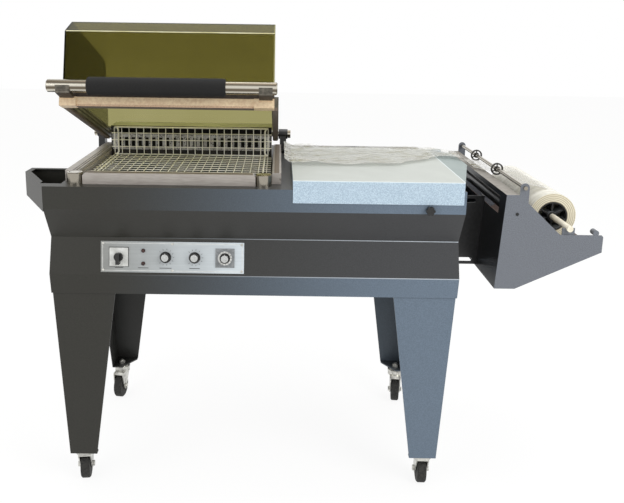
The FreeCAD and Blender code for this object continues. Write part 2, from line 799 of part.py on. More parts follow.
fan_z = tub_floor + tub_sheet + 8
fan_radius = fan_diameter / 2
motor_top = tub_floor
impeller = rod(fan_radius, Vec(fan_x, fan_y, fan_z), Vec(fan_x, fan_y, fan_z + 2))
blade = box(fan_x + 24, fan_x + fan_radius - 3, fan_y - 1, fan_y + 1, fan_z + 2, fan_z + 2 + fan_blade_height)
blades = [turned(blade, Vec(fan_x, fan_y, 0), Z_AXIS, 360 * i / fan_blades) for i in range(fan_blades)]
hub = rod(12, Vec(fan_x, fan_y, fan_z), Vec(fan_x, fan_y, fan_z + 14))
fan_shaft = rod(fan_shaft_diameter / 2, Vec(fan_x, fan_y, motor_top - motor_length / 2),
                Vec(fan_x, fan_y, fan_z + 14))
parts["fan_impeller"] = joined([impeller, hub, fan_shaft] + blades)
motor = rod(motor_diameter / 2, Vec(fan_x, fan_y, motor_top - motor_length), Vec(fan_x, fan_y, motor_top - 4))
half_plate = motor_plate_length / 2
half_width = motor_plate_width / 2
motor = motor.fuse(box(fan_x - half_plate, fan_x + half_plate, fan_y - half_width, fan_y + half_width,
                       motor_top - 4, motor_top))
motor = motor.cut(rod(fan_shaft_diameter / 2 + running,
                      Vec(fan_x, fan_y, motor_top - motor_length / 2 - 2), Vec(fan_x, fan_y, motor_top + 1)))
parts["fan_motor"] = motor

# ---------------------------------------------------------------- wire tray
# Welded mesh bent up at the back: long wires lie on the cross wires, inside a border rod.
tray_width = tray_right - tray_left
long_low = tray_low + tray_rim - tray_wire
cross_low = long_low - tray_wire
upright_top = tray_low + tray_upright
back_face = tray_back - tray_rim


def border(outline, width, corner):
    """Square-section rod frame round a rectangle (u0, u1, v0, v1) in the XY plane."""
    u0, u1, v0, v1 = outline
    outer = box(u0, u1, v0, v1, 0, width)
    inner = box(u0 + width, u1 - width, v0 + width, v1 - width, -1, width + 1)
    outer = outer.makeChamfer(corner, [e for e in outer.Edges if abs(e.tangentAt(e.FirstParameter).z) > 0.9])
    return outer.cut(inner)


flat = moved(border((tray_left, tray_right, tray_front, tray_back), tray_rim, tray_corner), 0, 0, tray_low)
upright = border((tray_left, tray_right, 0, tray_upright), tray_rim, tray_corner)
upright = moved(turned(upright, Vec(0, 0, 0), X_AXIS, 90), 0, tray_back, tray_low)
wires = [flat, upright]
count = int((tray_width - tray_rim) // tray_pitch)
first = tray_left + (tray_width - tray_pitch * count) / 2
for i in range(count + 1):
    x = first + i * tray_pitch - tray_wire / 2
    bent = [(tray_front + 1, long_low), (back_face + 1, long_low), (back_face + 1, upright_top - 1)]
    wires.append(prism_x(strip(bent, tray_wire), x, x + tray_wire))
cross_count = int((tray_back - tray_front - 2 * tray_rim) // tray_cross_pitch)
for i in range(cross_count):
    y = tray_front + tray_cross_pitch * (i + 0.9)
    wires.append(box(tray_left + 1, tray_right - 1, y, y + tray_wire, cross_low, cross_low + tray_wire))
row_pitch = (tray_upright - tray_rim) / (tray_upright_rows + 1)
for i in range(tray_upright_rows):
    z = tray_low + tray_rim + row_pitch * (i + 1)
    wires.append(box(tray_left + 1, tray_right - 1, back_face + 0.6, back_face + 0.6 + tray_wire,
                     z, z + tray_wire))
parts["mesh_tray"] = joined(wires)

# ---------------------------------------------------------------- lower seal frame
# Extruded left arm with two grooves, front and right jaws with the heating band on top.
arm_right = frame_left + left_arm_width
arm_front = magnet_y + magnet_diameter / 2 + gap
arm_profile = box(frame_left, arm_right, arm_front, frame_back, deck_z, jaw_top)
for groove_x, groove_width in ((frame_left + 18, 3), (frame_left + 25, 4)):
    arm_profile = arm_profile.cut(box(groove_x, groove_x + groove_width, arm_front - 1, frame_back + 1,
                                      jaw_top - 3, jaw_top + 1))
arm_profile = arm_profile.cut(box(arm_right - 5, arm_right + 1, arm_front - 1, frame_back + 1,
                                  jaw_top - 8, jaw_top + 1))
parts["lower_left_arm"] = arm_profile

magnet_radius = magnet_diameter / 2
front_left_x = magnet_left + magnet_radius + gap
front_right_x = magnet_right - magnet_radius - gap
solid_top = jaw_top - band_thickness
outline = [(front_left_x, deck_z), (front_right_x, deck_z), (front_right_x, solid_top - jaw_corner),
           (front_right_x - jaw_corner, solid_top), (front_left_x + jaw_corner, solid_top),
           (front_left_x, solid_top - jaw_corner)]
parts["lower_front_jaw"] = prism_y(outline, front_jaw_face, front_jaw_face + front_jaw_depth)
right_jaw_left = frame_right - jaw_width
right_jaw = box(right_jaw_left, frame_right, arm_front, frame_back, deck_z, solid_top)
right_jaw = right_jaw.cut(box(frame_right - 4, frame_right + 1, arm_front - 1, frame_back + 1,
                              deck_z + 8, deck_z + 14))
parts["lower_right_jaw"] = right_jaw

band_mid_y = front_jaw_face + front_jaw_depth / 2
front_band = box(front_left_x + jaw_corner, front_right_x - jaw_corner, band_mid_y - band_width / 2,
                 band_mid_y + band_width / 2, solid_top, jaw_top)
band_mid_x = frame_right - jaw_width / 2
right_band = box(band_mid_x - band_width / 2, band_mid_x + band_width / 2, arm_front, frame_back,
                 solid_top, jaw_top)
parts["seal_bands"] = group([front_band, right_band])


def magnet(x):
    post = rod(magnet_radius, Vec(x, magnet_y, deck_z), Vec(x, magnet_y, jaw_top))
    ends = [e for e in post.Edges if len(e.Vertexes) == 1 and e.CenterOfMass.z > jaw_top - 1]
    post = post.makeChamfer(magnet_chamfer, ends)
    groove = rod(magnet_radius * 0.72, Vec(x, magnet_y, jaw_top - 1), Vec(x, magnet_y, jaw_top + 1))
    return post.cut(groove.cut(rod(magnet_radius * 0.62, Vec(x, magnet_y, jaw_top - 2),
                                   Vec(x, magnet_y, jaw_top + 2))))


parts["magnet_posts"] = group([magnet(magnet_left), magnet(magnet_right)])

# ---------------------------------------------------------------- hood
# Everything here is drawn shut and then swung open about the hinge pin.


def swung_open(shape):
    return turned(shape, Vec(0, hinge_y, hinge_z), X_AXIS, -hood_open_angle)


pin_radius = hinge_pin_diameter / 2
knuckle_radius = pin_radius + 8
side_bar_low = pad_z + side_pad


def hood_arm(x0):
    bar = box(x0, x0 + hood_arm_width, upper_jaw_face + upper_jaw_depth, hinge_y, side_bar_low, bar_top)
    for z in (side_bar_low + 6, bar_top - 10):
        bar = bar.cut(box(x0 + hood_arm_width - 2, x0 + hood_arm_width + 1, upper_jaw_face, hinge_y - 30,
                          z, z + 4))
    knuckle = rod(knuckle_radius, Vec(x0, hinge_y, hinge_z), Vec(x0 + hood_arm_width, hinge_y, hinge_z))
    bore = rod(pin_radius, Vec(x0 - 1, hinge_y, hinge_z), Vec(x0 + hood_arm_width + 1, hinge_y, hinge_z))
    return bar.fuse(knuckle).cut(bore)


right_arm_x = hood_right - hood_arm_width
parts["hood_arms"] = swung_open(group([hood_arm(hood_left), hood_arm(right_arm_x)]))

front_bar_low = pad_z + front_pad
ledge_z = bar_top - upper_jaw_ledge
strip_face = upper_jaw_face + upper_jaw_setback
block_back = upper_jaw_face + upper_jaw_depth
jaw_profile = [(upper_jaw_face, front_bar_low), (block_back, front_bar_low), (block_back, bar_top),
               (strip_face, bar_top), (strip_face, ledge_z), (upper_jaw_face, ledge_z)]
jaw_bar = prism_x(jaw_profile, hood_left, upper_jaw_right)
# end blocks reach down to the magnet posts
block_front = upper_jaw_face - end_block_forward
left_block = box(hood_left, end_block_left, block_front, block_back, pad_z, ledge_z)
right_block = box(end_block_right, upper_jaw_right, block_front, block_back, pad_z, ledge_z)
handle_y = -handle_forward
handle_z = jaw_top + handle_rise
handle_radius = handle_diameter / 2


def handle_bracket(x0):
    """Bent strap from the jaw bar to a saddle under the handle tube."""
    top = handle_z - handle_radius + 1
    strap = prism_x([(handle_y - 12, top), (handle_y - 12, top - bracket_sheet),
                     (block_front - 4, ledge_z - bracket_sheet), (strip_face, ledge_z - bracket_sheet),
                     (strip_face, bar_top), (strip_face - bracket_sheet, bar_top),
                     (upper_jaw_face, ledge_z + bracket_sheet)], x0, x0 + bracket_width)
    saddle = rod(handle_radius + 3, Vec(x0, handle_y, handle_z), Vec(x0 + bracket_width, handle_y, handle_z))
    saddle = saddle.common(box(x0, x0 + bracket_width, handle_y - 30, handle_y + 30,
                               handle_z - 30, handle_z - 2))
    return strap.fuse(saddle)


bracket_inset = 4.0
tube_space = rod(handle_radius, Vec(handle_left - 20, handle_y, handle_z),
                 Vec(handle_right + 20, handle_y, handle_z))
left_bracket_x = hood_left + bracket_inset
right_bracket_x = upper_jaw_right - bracket_inset - bracket_width
front_jaw = joined([jaw_bar, left_block, right_block, handle_bracket(left_bracket_x),
                    handle_bracket(right_bracket_x)])
front_jaw = front_jaw.cut(tube_space)
parts["hood_front_jaw"] = swung_open(front_jaw)

front_pad_block = box(end_block_left + gap, end_block_right - gap, upper_jaw_face, block_back, pad_z,
                      front_bar_low)
left_pad = box(hood_left + 2, hood_left + hood_arm_width - 2, block_back, frame_back, pad_z, side_bar_low)
right_pad = box(right_arm_x + 2, hood_right - 2, block_back, frame_back, pad_z, side_bar_low)
parts["jaw_pads"] = swung_open(group([front_pad_block, left_pad, right_pad]))

tube = rod(handle_radius, Vec(handle_left, handle_y, handle_z), Vec(handle_right, handle_y, handle_z))
tube = tube.cut(rod(handle_radius - handle_wall, Vec(handle_left - 1, handle_y, handle_z),
                    Vec(handle_right + 1, handle_y, handle_z)))
caps = []
for end, outward in ((handle_left, -1), (handle_right, 1)):
    dome = rod(handle_radius, Vec(end, handle_y, handle_z),
               Vec(end + outward * cap_thickness, handle_y, handle_z))
    rims = [e for e in dome.Edges if len(e.Vertexes) == 1 and abs(e.CenterOfMass.x - end) > 1]
    plug = rod(handle_radius - handle_wall, Vec(end, handle_y, handle_z),
               Vec(end - outward * 2 * cap_thickness, handle_y, handle_z))
    caps.append(dome.makeChamfer(cap_thickness * 0.6, rims).fuse(plug))
parts["handle_tube"] = swung_open(group([tube] + caps))

grip_radius = grip_diameter / 2
grip = rod(grip_radius, Vec(grip_left, handle_y, handle_z), Vec(grip_right, handle_y, handle_z))
grip = grip.makeChamfer(3, [e for e in grip.Edges if len(e.Vertexes) == 1])
grip = grip.cut(rod(handle_radius, Vec(grip_left - 1, handle_y, handle_z),
                    Vec(grip_right + 1, handle_y, handle_z)))
parts["handle_grip"] = swung_open(grip)

# clear shell: folded sheet, seen from the side an upright front, a slope, a flat top and a
# leaning back; the two flat sides are cemented between them
shell_top = bar_top + shell_wall + shell_slope_rise
top_back_y = duct_back + shell_air - shell_back_length
outline = [(shell_front, bar_top), (shell_front, bar_top + shell_wall),
           (shell_front + shell_slope_length, shell_top), (top_back_y, shell_top),
           (top_back_y + shell_back_length, shell_top - shell_back_drop),
           (top_back_y + shell_back_length, bar_top)]
skin = strip(outline[::-1], shell_sheet)
lining = skin[len(outline):][::-1]
hood_shell = prism_x(outline, shell_left, shell_right)
hood_shell = hood_shell.cut(prism_x(lining, shell_left + shell_sheet, shell_right - shell_sheet))
parts["hood_shell"] = swung_open(hood_shell)

# ---------------------------------------------------------------- hinge
pin_start = hinge_left - hinge_cap_length
pin_end = hinge_right + hinge_bracket_width + hinge_cap_length
pin_shape = rod(pin_radius, Vec(pin_start, hinge_y, hinge_z), Vec(pin_end, hinge_y, hinge_z))
cap_radius = hinge_cap_diameter / 2
for start, end in ((pin_start, hinge_left - gap), (hinge_right + hinge_bracket_width + gap, pin_end)):
    pin_shape = pin_shape.fuse(rod(cap_radius, Vec(start, hinge_y, hinge_z), Vec(end, hinge_y, hinge_z)))
parts["hinge_shaft"] = pin_shape


def hinge_bracket(x0):
    x1 = x0 + hinge_bracket_width
    bearing = bracket_bearing / 2
    foot = box(x0, x1, hinge_y - hinge_foot / 2, hinge_y + hinge_foot / 2, deck_z,
               deck_z + hinge_foot_thickness)
    web = prism_x([(hinge_y - hinge_foot / 3, deck_z + 1), (hinge_y + hinge_foot / 3, deck_z + 1),
                   (hinge_y + bearing * 0.9, hinge_z), (hinge_y - bearing * 0.9, hinge_z)], x0 + 4, x1 - 4)
    ring = rod(bearing, Vec(x0, hinge_y, hinge_z), Vec(x1, hinge_y, hinge_z))
    bore = rod(pin_radius + running, Vec(x0 - 1, hinge_y, hinge_z), Vec(x1 + 1, hinge_y, hinge_z))
    return joined([foot, web, ring]).cut(bore)


parts["hinge_brackets"] = group([hinge_bracket(hinge_left), hinge_bracket(hinge_right)])

# ---------------------------------------------------------------- film table
# Folded tray-like sheet over the right half of the deck, with a sloping wing at the end.
table_top = deck_z + table_rise
table_under = table_top - table_sheet
apron_face = -rim_overhang - gap - table_sheet
top_sheet = box(table_left, table_right, apron_face, table_back, table_under, table_top)
apron = box(table_left, table_right, apron_face, apron_face + table_sheet, table_top - apron_drop, table_top)
left_flange = box(table_left, table_left + table_sheet, -rim_overhang, table_back, deck_z, table_top)
back_flange = box(table_left, table_right, table_back - table_sheet, table_back, deck_z, table_top)
wing_end = table_right + wing_reach
wing = face_of([(table_right, apron_face, table_under), (table_right, table_back, table_under),
                (wing_end, table_back, table_under - wing_drop),
                (wing_end, apron_face + wing_length, table_under - wing_drop)])
wing = wing.extrude(Vec(0, 0, table_sheet))
post = box(post_left, post_left + post_width, table_back - post_depth, table_back,
           table_under - wing_drop, table_top + post_top)
parts["film_table"] = joined([top_sheet, apron, left_flange, back_flange, wing, post])

# clamp screw in the rim band that holds the table's apron down
clamp_z = deck_z - clamp_drop
clamp_radius = clamp_diameter / 2
clamp_face = -rim_overhang
clamp = rod(clamp_radius, Vec(clamp_x, clamp_face - gap - clamp_length, clamp_z),
            Vec(clamp_x, clamp_face - gap - 4, clamp_z))
for i in range(6):
    scallop = rod(4, Vec(clamp_x, clamp_face - 2 * clamp_length, clamp_z + clamp_radius + 2),
                  Vec(clamp_x, clamp_face, clamp_z + clamp_radius + 2))
    clamp = clamp.cut(turned(scallop, Vec(clamp_x, 0, clamp_z), Y_AXIS, 60 * i))
clamp_screw = 3.0
clamp = clamp.fuse(rod(6, Vec(clamp_x, clamp_face - gap - 5, clamp_z),
                       Vec(clamp_x, clamp_face - gap, clamp_z)))
clamp = clamp.fuse(rod(clamp_screw, Vec(clamp_x, clamp_face - 1, clamp_z),
                       Vec(clamp_x, clamp_face + sheet, clamp_z)))
parts["table_clamp"] = clamp
parts["body_shell"] = parts["body_shell"].cut(
    rod(clamp_screw + running, Vec(clamp_x, clamp_face - 1, clamp_z), Vec(clamp_x, clamp_face + 5, clamp_z)))

# ---------------------------------------------------------------- unwinder
top_left_x = unwinder_x + unwinder_lean
top_right_x = top_left_x + unwinder_top_width
side_back = side_front + side_depth
roll_z = dip_z + roll_rise
tip_top = dip_z
side_outline = [(unwinder_x, unwinder_low), (unwinder_x + unwinder_foot, unwinder_low),
                (tip_x, tip_top - tip_drop), (tip_x, tip_top - 4), (tip_x - 4, tip_top),
                (dip_x, dip_z), (top_right_x, unwinder_top), (top_left_x, unwinder_top)]
peg_z = dip_z + peg_diameter / 2 - 2
ear_half = rod_ear / 2
rod_radius = rod_diameter / 2


def side_plate(y, inward):
    y1 = y + side_sheet
    plate = prism_y(side_outline, y, y1)
    ear = prism_y([(rod_x - ear_half, rod_z), (rod_x - ear_half, unwinder_top - ear_front_depth),
                   (rod_x + ear_half, unwinder_top - ear_back_depth), (rod_x + ear_half, rod_z)], y, y1)
    ear = ear.fuse(rod(ear_half, Vec(rod_x, y, rod_z), Vec(rod_x, y1, rod_z)))
    near, far = (y, y + peg_length) if inward > 0 else (y1 - peg_length, y1)
    peg = rod(peg_diameter / 2, Vec(peg_x, near, peg_z), Vec(peg_x, far, peg_z))
    back, front = (y1, y1 + seat_sheet) if inward > 0 else (y - seat_sheet, y)
    seat = box(roll_x - seat_width / 2, roll_x + seat_width / 2, back, front, dip_z - seat_depth, roll_z)
    plate = joined([plate, ear, peg, seat])
    notch = rod(shaft_diameter / 2 + gap, Vec(roll_x, y - seat_sheet - 1, roll_z),
                Vec(roll_x, y1 + seat_sheet + 1, roll_z))
    rod_hole = rod(rod_radius, Vec(rod_x, y - 1, rod_z), Vec(rod_x, y1 + 1, rod_z))
    pin_hole = rod(idler_pin_diameter / 2 + running, Vec(idler_x, y - 1, idler_z),
                   Vec(idler_x, y1 + 1, idler_z))
    return plate.cut(notch).cut(rod_hole).cut(pin_hole)


parts["unwinder_side_plates"] = group([side_plate(side_front, 1), side_plate(side_back - side_sheet, -1)])

# one sheet folded round: top, leaning left wall with the film window, underside up to the tip
run = [(top_right_x - 1, unwinder_top), (top_left_x, unwinder_top), (unwinder_x, unwinder_low),
       (unwinder_x + unwinder_foot, unwinder_low), (tip_x, tip_top - tip_drop)]
wrap = prism_y(strip(run, wrap_sheet), side_front + side_sheet, side_back - side_sheet)
wrap = wrap.cut(box(unwinder_x - 20, top_left_x + 20, window_front, window_front + window_length,
                    unwinder_top - window_low, unwinder_top - window_high))
parts["unwinder_wrap"] = wrap

lean_per_mm = unwinder_lean / (unwinder_top - unwinder_low)


def left_wall_x(z):
    return unwinder_x + lean_per_mm * (z - unwinder_low)


def strut(y):
    """Slotted bracket between the end of the body and the unwinder's left wall."""
    low, high = strut_low + 10, strut_high
    start = length + bulge
    web = prism_y([(start, low), (left_wall_x(low), low), (left_wall_x(high), high),
                   (start, high)], y, y + strut_sheet)
    flange = box(start, start + strut_sheet, y, y + strut_flange, low, high)
    end = strip([(left_wall_x(high), high), (left_wall_x(low), low)], -strut_sheet)
    web = web.fuse(flange).fuse(prism_y(end, y, y + strut_flange))
    mid = (start + left_wall_x(low)) / 2 + 10
    half = (strut_slot_length - strut_slot_height) / 2
    radius = strut_slot_height / 2
    for z in (low + strut_slot_inset, high - strut_slot_inset):
        slot = box(mid - half, mid + half, y - 1, y + strut_sheet + 1, z - radius, z + radius)
        for x in (mid - half, mid + half):
            slot = slot.fuse(rod(radius, Vec(x, y - 1, z), Vec(x, y + strut_sheet + 1, z)))
        web = web.cut(slot)
    return web.removeSplitter()


parts["unwinder_brackets"] = group([strut(strut_front), strut(strut_front + strut_pitch)])

rod_out = 6.0
parts["perforator_rod"] = rod(rod_radius, Vec(rod_x, side_front - rod_out, rod_z),
                              Vec(rod_x, side_back + rod_out, rod_z))


def perforator_wheel(y):
    half = wheel_ring_width / 2
    outer = wheel_ring_diameter / 2
    ring = rod(outer, Vec(rod_x, y - half, rod_z), Vec(rod_x, y + half, rod_z))
    ring = ring.cut(rod(outer - wheel_ring_wall, Vec(rod_x, y - half - 1, rod_z),
                        Vec(rod_x, y + half + 1, rod_z)))
    hub = rod(wheel_hub_diameter / 2, Vec(rod_x, y - half, rod_z), Vec(rod_x, y + half, rod_z))
    spoke = box(rod_x - 1.5, rod_x + 1.5, y - half / 2, y + half / 2, rod_z + 6, rod_z + outer - 1)
    spokes = [turned(spoke, Vec(rod_x, 0, rod_z), Y_AXIS, 120 * i) for i in range(3)]
    wheel = joined([ring, hub] + spokes)
    return wheel.cut(rod(rod_radius + running, Vec(rod_x, y - half - 1, rod_z),
                         Vec(rod_x, y + half + 1, rod_z)))


parts["perforator_wheel_front"] = perforator_wheel(wheel_front_y)
parts["perforator_wheel_back"] = perforator_wheel(wheel_back_y)

idler_start = side_front + side_sheet + 2
idler_end = side_back - side_sheet - 2
idler_radius = idler_diameter / 2
idler = rod(idler_radius, Vec(idler_x, idler_start, idler_z), Vec(idler_x, idler_end, idler_z))
idler = idler.fuse(rod(idler_pin_diameter / 2, Vec(idler_x, side_front - 1, idler_z),
                       Vec(idler_x, side_back + 1, idler_z)))
parts["idler_roller"] = idler

shaft_radius = shaft_diameter / 2
parts["roll_shaft"] = rod(shaft_radius, Vec(roll_x, side_front - 8, roll_z),
                          Vec(roll_x, side_back + 8, roll_z))


def roll_cone(y, outward):
    """Spoked plastic chuck: a flange ring on the core, a hub on the shaft and six webs."""
    inner_end = y - outward * cone_depth
    low, high = min(y, inner_end), max(y, inner_end)
    ring = rod(core_bore / 2, Vec(roll_x, low, roll_z), Vec(roll_x, high, roll_z))
    ring = ring.cut(rod(core_bore / 2 - cone_wall, Vec(roll_x, low - 1, roll_z), Vec(roll_x, high + 1, roll_z)))
    hub = rod(shaft_radius + 5, Vec(roll_x, low, roll_z), Vec(roll_x, high, roll_z))
    web = box(roll_x - 2, roll_x + 2, low + 6, high, roll_z + shaft_radius + 1, roll_z + core_bore / 2 - 2)
    webs = [turned(web, Vec(roll_x, 0, roll_z), Y_AXIS, 60 * i) for i in range(6)]
    return joined([ring, hub] + webs).cut(rod(shaft_radius, Vec(roll_x, low - 1, roll_z),
                                              Vec(roll_x, high + 1, roll_z)))


roll_end = roll_start + roll_length
parts["roll_cones"] = group([roll_cone(roll_start, -1), roll_cone(roll_end, 1)])
film = rod(roll_diameter / 2, Vec(roll_x, roll_start, roll_z), Vec(roll_x, roll_end, roll_z))
film = film.cut(rod(core_bore / 2, Vec(roll_x, roll_start - 1, roll_z), Vec(roll_x, roll_end + 1, roll_z)))
parts["film_roll"] = film

# ---------------------------------------------------------------- film web
# Loose film from the roll over the unwinder's top and the table; a plain thin sheet.
clear = 0.3
web_z = table_top + clear
edge = Vec(top_right_x, unwinder_top + clear, 0)
centre = Vec(roll_x, roll_z, 0)
reach = centre - edge
touch = roll_diameter / 2 + 1 + film_thickness
swing = math.asin(touch / reach.Length)
heading = math.atan2(reach.y, reach.x) + swing
run_length = reach.Length * math.cos(swing) - 8
last = (edge.x + run_length * math.cos(heading), edge.y + run_length * math.sin(heading))
web_run = [(film_left, web_z), (table_right, web_z), (wing_end, web_z - wing_drop),
           (top_left_x + 2, unwinder_top + clear + 1), (edge.x, edge.y + 1), last]
parts["film_web"] = prism_y(strip(web_run, film_thickness), film_front, film_back)

# ---------------------------------------------------------------- origin and export
bounds = group(list(parts.values())).BoundBox
origin_x = (bounds.XMin + bounds.XMax) / 2
origin_y = (bounds.YMin + bounds.YMax) / 2
os.makedirs("parts", exist_ok=True)
for name, shape in parts.items():
    moved(shape, -origin_x, -origin_y, -bounds.ZMin).exportStep("parts/" + name + ".step")
    print(name, len(shape.Solids), shape.isValid(), round(shape.Volume))
print("size", round(bounds.XLength, 1), round(bounds.YLength, 1), round(bounds.ZLength, 1))
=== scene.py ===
import bpy
import math
from mathutils import Matrix, Vector, noise


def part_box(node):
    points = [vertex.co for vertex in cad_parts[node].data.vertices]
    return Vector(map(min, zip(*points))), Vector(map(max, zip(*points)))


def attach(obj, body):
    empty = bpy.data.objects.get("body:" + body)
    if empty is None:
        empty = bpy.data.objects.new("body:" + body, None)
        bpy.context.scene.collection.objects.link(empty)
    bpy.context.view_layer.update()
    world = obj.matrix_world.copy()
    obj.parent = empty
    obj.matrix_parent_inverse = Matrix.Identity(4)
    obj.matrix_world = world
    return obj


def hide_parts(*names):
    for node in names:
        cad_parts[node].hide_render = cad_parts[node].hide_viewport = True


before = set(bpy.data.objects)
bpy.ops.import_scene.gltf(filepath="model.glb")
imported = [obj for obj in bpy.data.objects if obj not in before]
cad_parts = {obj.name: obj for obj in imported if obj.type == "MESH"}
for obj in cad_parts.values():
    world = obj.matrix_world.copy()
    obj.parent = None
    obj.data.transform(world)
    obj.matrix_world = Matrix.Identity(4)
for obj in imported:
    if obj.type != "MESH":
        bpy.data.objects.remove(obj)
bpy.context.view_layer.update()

# ---------------------------------------------------------------- studio
# A plain pale floor and a white room, lit by three large soft lamps, as for a catalogue.
# The viewpoint stands in front, at about the height of the open hood.
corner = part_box("leg_front_left")[0]


def tone(code):
    """Linear colour from an sRGB hex code."""
    parts = [int(code[i:i + 2], 16) / 255 for i in (1, 3, 5)]
    return [p / 12.92 if p <= 0.04045 else ((p + 0.055) / 1.055) ** 2.4 for p in parts] + [1.0]


def shade(tree, kind, links=None, **settings):
    """Adds one shader node, with its settings, and its sockets' values or links."""
    made = tree.nodes.new("ShaderNode" + kind)
    for name, value in settings.items():
        setattr(made, name, value)
    for name, value in (links or {}).items():
        if isinstance(value, bpy.types.NodeSocket):
            tree.links.new(value, made.inputs[name])
        else:
            made.inputs[name].default_value = value
    return made


def seen_directly(tree):
    """1 for rays that show the background itself, in the open or in metal and glass."""
    path = shade(tree, "LightPath").outputs
    either = shade(tree, "Math", {0: path["Is Camera Ray"], 1: path["Is Glossy Ray"]}, operation="MAXIMUM")
    return shade(tree, "Math", {0: either.outputs[0], 1: path["Is Transmission Ray"]},
                 operation="MAXIMUM").outputs[0]


bpy.ops.object.select_all(action="DESELECT")
bpy.ops.mesh.primitive_plane_add(size=24)
floor = bpy.context.object
floor.name = "studio_floor"
pale = bpy.data.materials.new("matt_white_studio_floor")
pale.use_nodes = True
tree = pale.node_tree
tree.nodes.remove(tree.nodes["Principled BSDF"])
matt = shade(tree, "BsdfDiffuse", {"Color": tone("#f4f4f2")})
glow = shade(tree, "Emission", {"Color": tone("#ffffff"), "Strength": 1.05})
share = shade(tree, "Math", {0: seen_directly(tree), 1: 0.85}, operation="MULTIPLY")
blend = shade(tree, "MixShader", {0: share.outputs[0], 1: matt.outputs[0], 2: glow.outputs[0]})
tree.links.new(blend.outputs[0], tree.nodes["Material Output"].inputs["Surface"])
floor.data.materials.append(pale)

room = bpy.data.worlds.new("white_room")
bpy.context.scene.world = room
room.use_nodes = True
tree = room.node_tree
strength = shade(tree, "MapRange", {"Value": seen_directly(tree), "To Min": 0.62, "To Max": 1.0})
tree.links.new(strength.outputs[0], tree.nodes["Background"].inputs["Strength"])
tree.nodes["Background"].inputs["Color"].default_value = tone("#ffffff")

lit_point = Vector((0, 0, 0.75))
for name, place, size, watts in (("key_lamp", (2.2, -2.6, 2.6), 1.8, 62), ("fill_lamp", (-2.4, -2.4, 1.9), 2.0, 26),
                                 ("top_lamp", (0.1, 0.3, 3.2), 2.2, 30)):
    lamp = bpy.data.objects.new(name, bpy.data.lights.new(name, "AREA"))
    lamp.data.size = size
    lamp.data.energy = watts
    lamp.location = place
    lamp.rotation_euler = (lit_point - lamp.location).to_track_quat("-Z", "Y").to_euler()
    bpy.context.scene.collection.objects.link(lamp)

view = bpy.data.objects.new("viewpoint", bpy.data.cameras.new("viewpoint"))
view.data.lens = 44.76
view.data.sensor_width = 36
view.data.shift_x = 0.0546
view.data.shift_y = -0.0849
stand = Vector((corner.x + 0.5587, corner.y - 1.8373, 1.2123))
tilt = Matrix.Rotation(math.radians(77.3), 4, "X") @ Matrix.Rotation(math.radians(0.8), 4, "Z")
view.matrix_world = Matrix.Translation(stand) @ tilt
bpy.context.scene.collection.objects.link(view)
bpy.context.scene.camera = view
bpy.context.scene.view_settings.view_transform = "Standard"

# ---------------------------------------------------------------- body
# Folded and welded 2.5 mm sheet steel: skirt, leaning panel band, flared top, upright rim
# and deck, with the side gutter, rear cover and base pan in the same charcoal hammer enamel.


def coat(name, colour, roughness, metallic=0.0, **sockets):
    """A material with its Principled shader; returns the material, its nodes and the shader."""
    made = bpy.data.materials.new(name)
    made.use_nodes = True
    surface = made.node_tree.nodes["Principled BSDF"]
    surface.inputs["Base Color"].default_value = tone(colour)
    surface.inputs["Roughness"].default_value = roughness
    surface.inputs["Metallic"].default_value = metallic
    for socket, value in sockets.items():
        surface.inputs[socket.replace("_", " ")].default_value = value
    return made, made.node_tree, surface


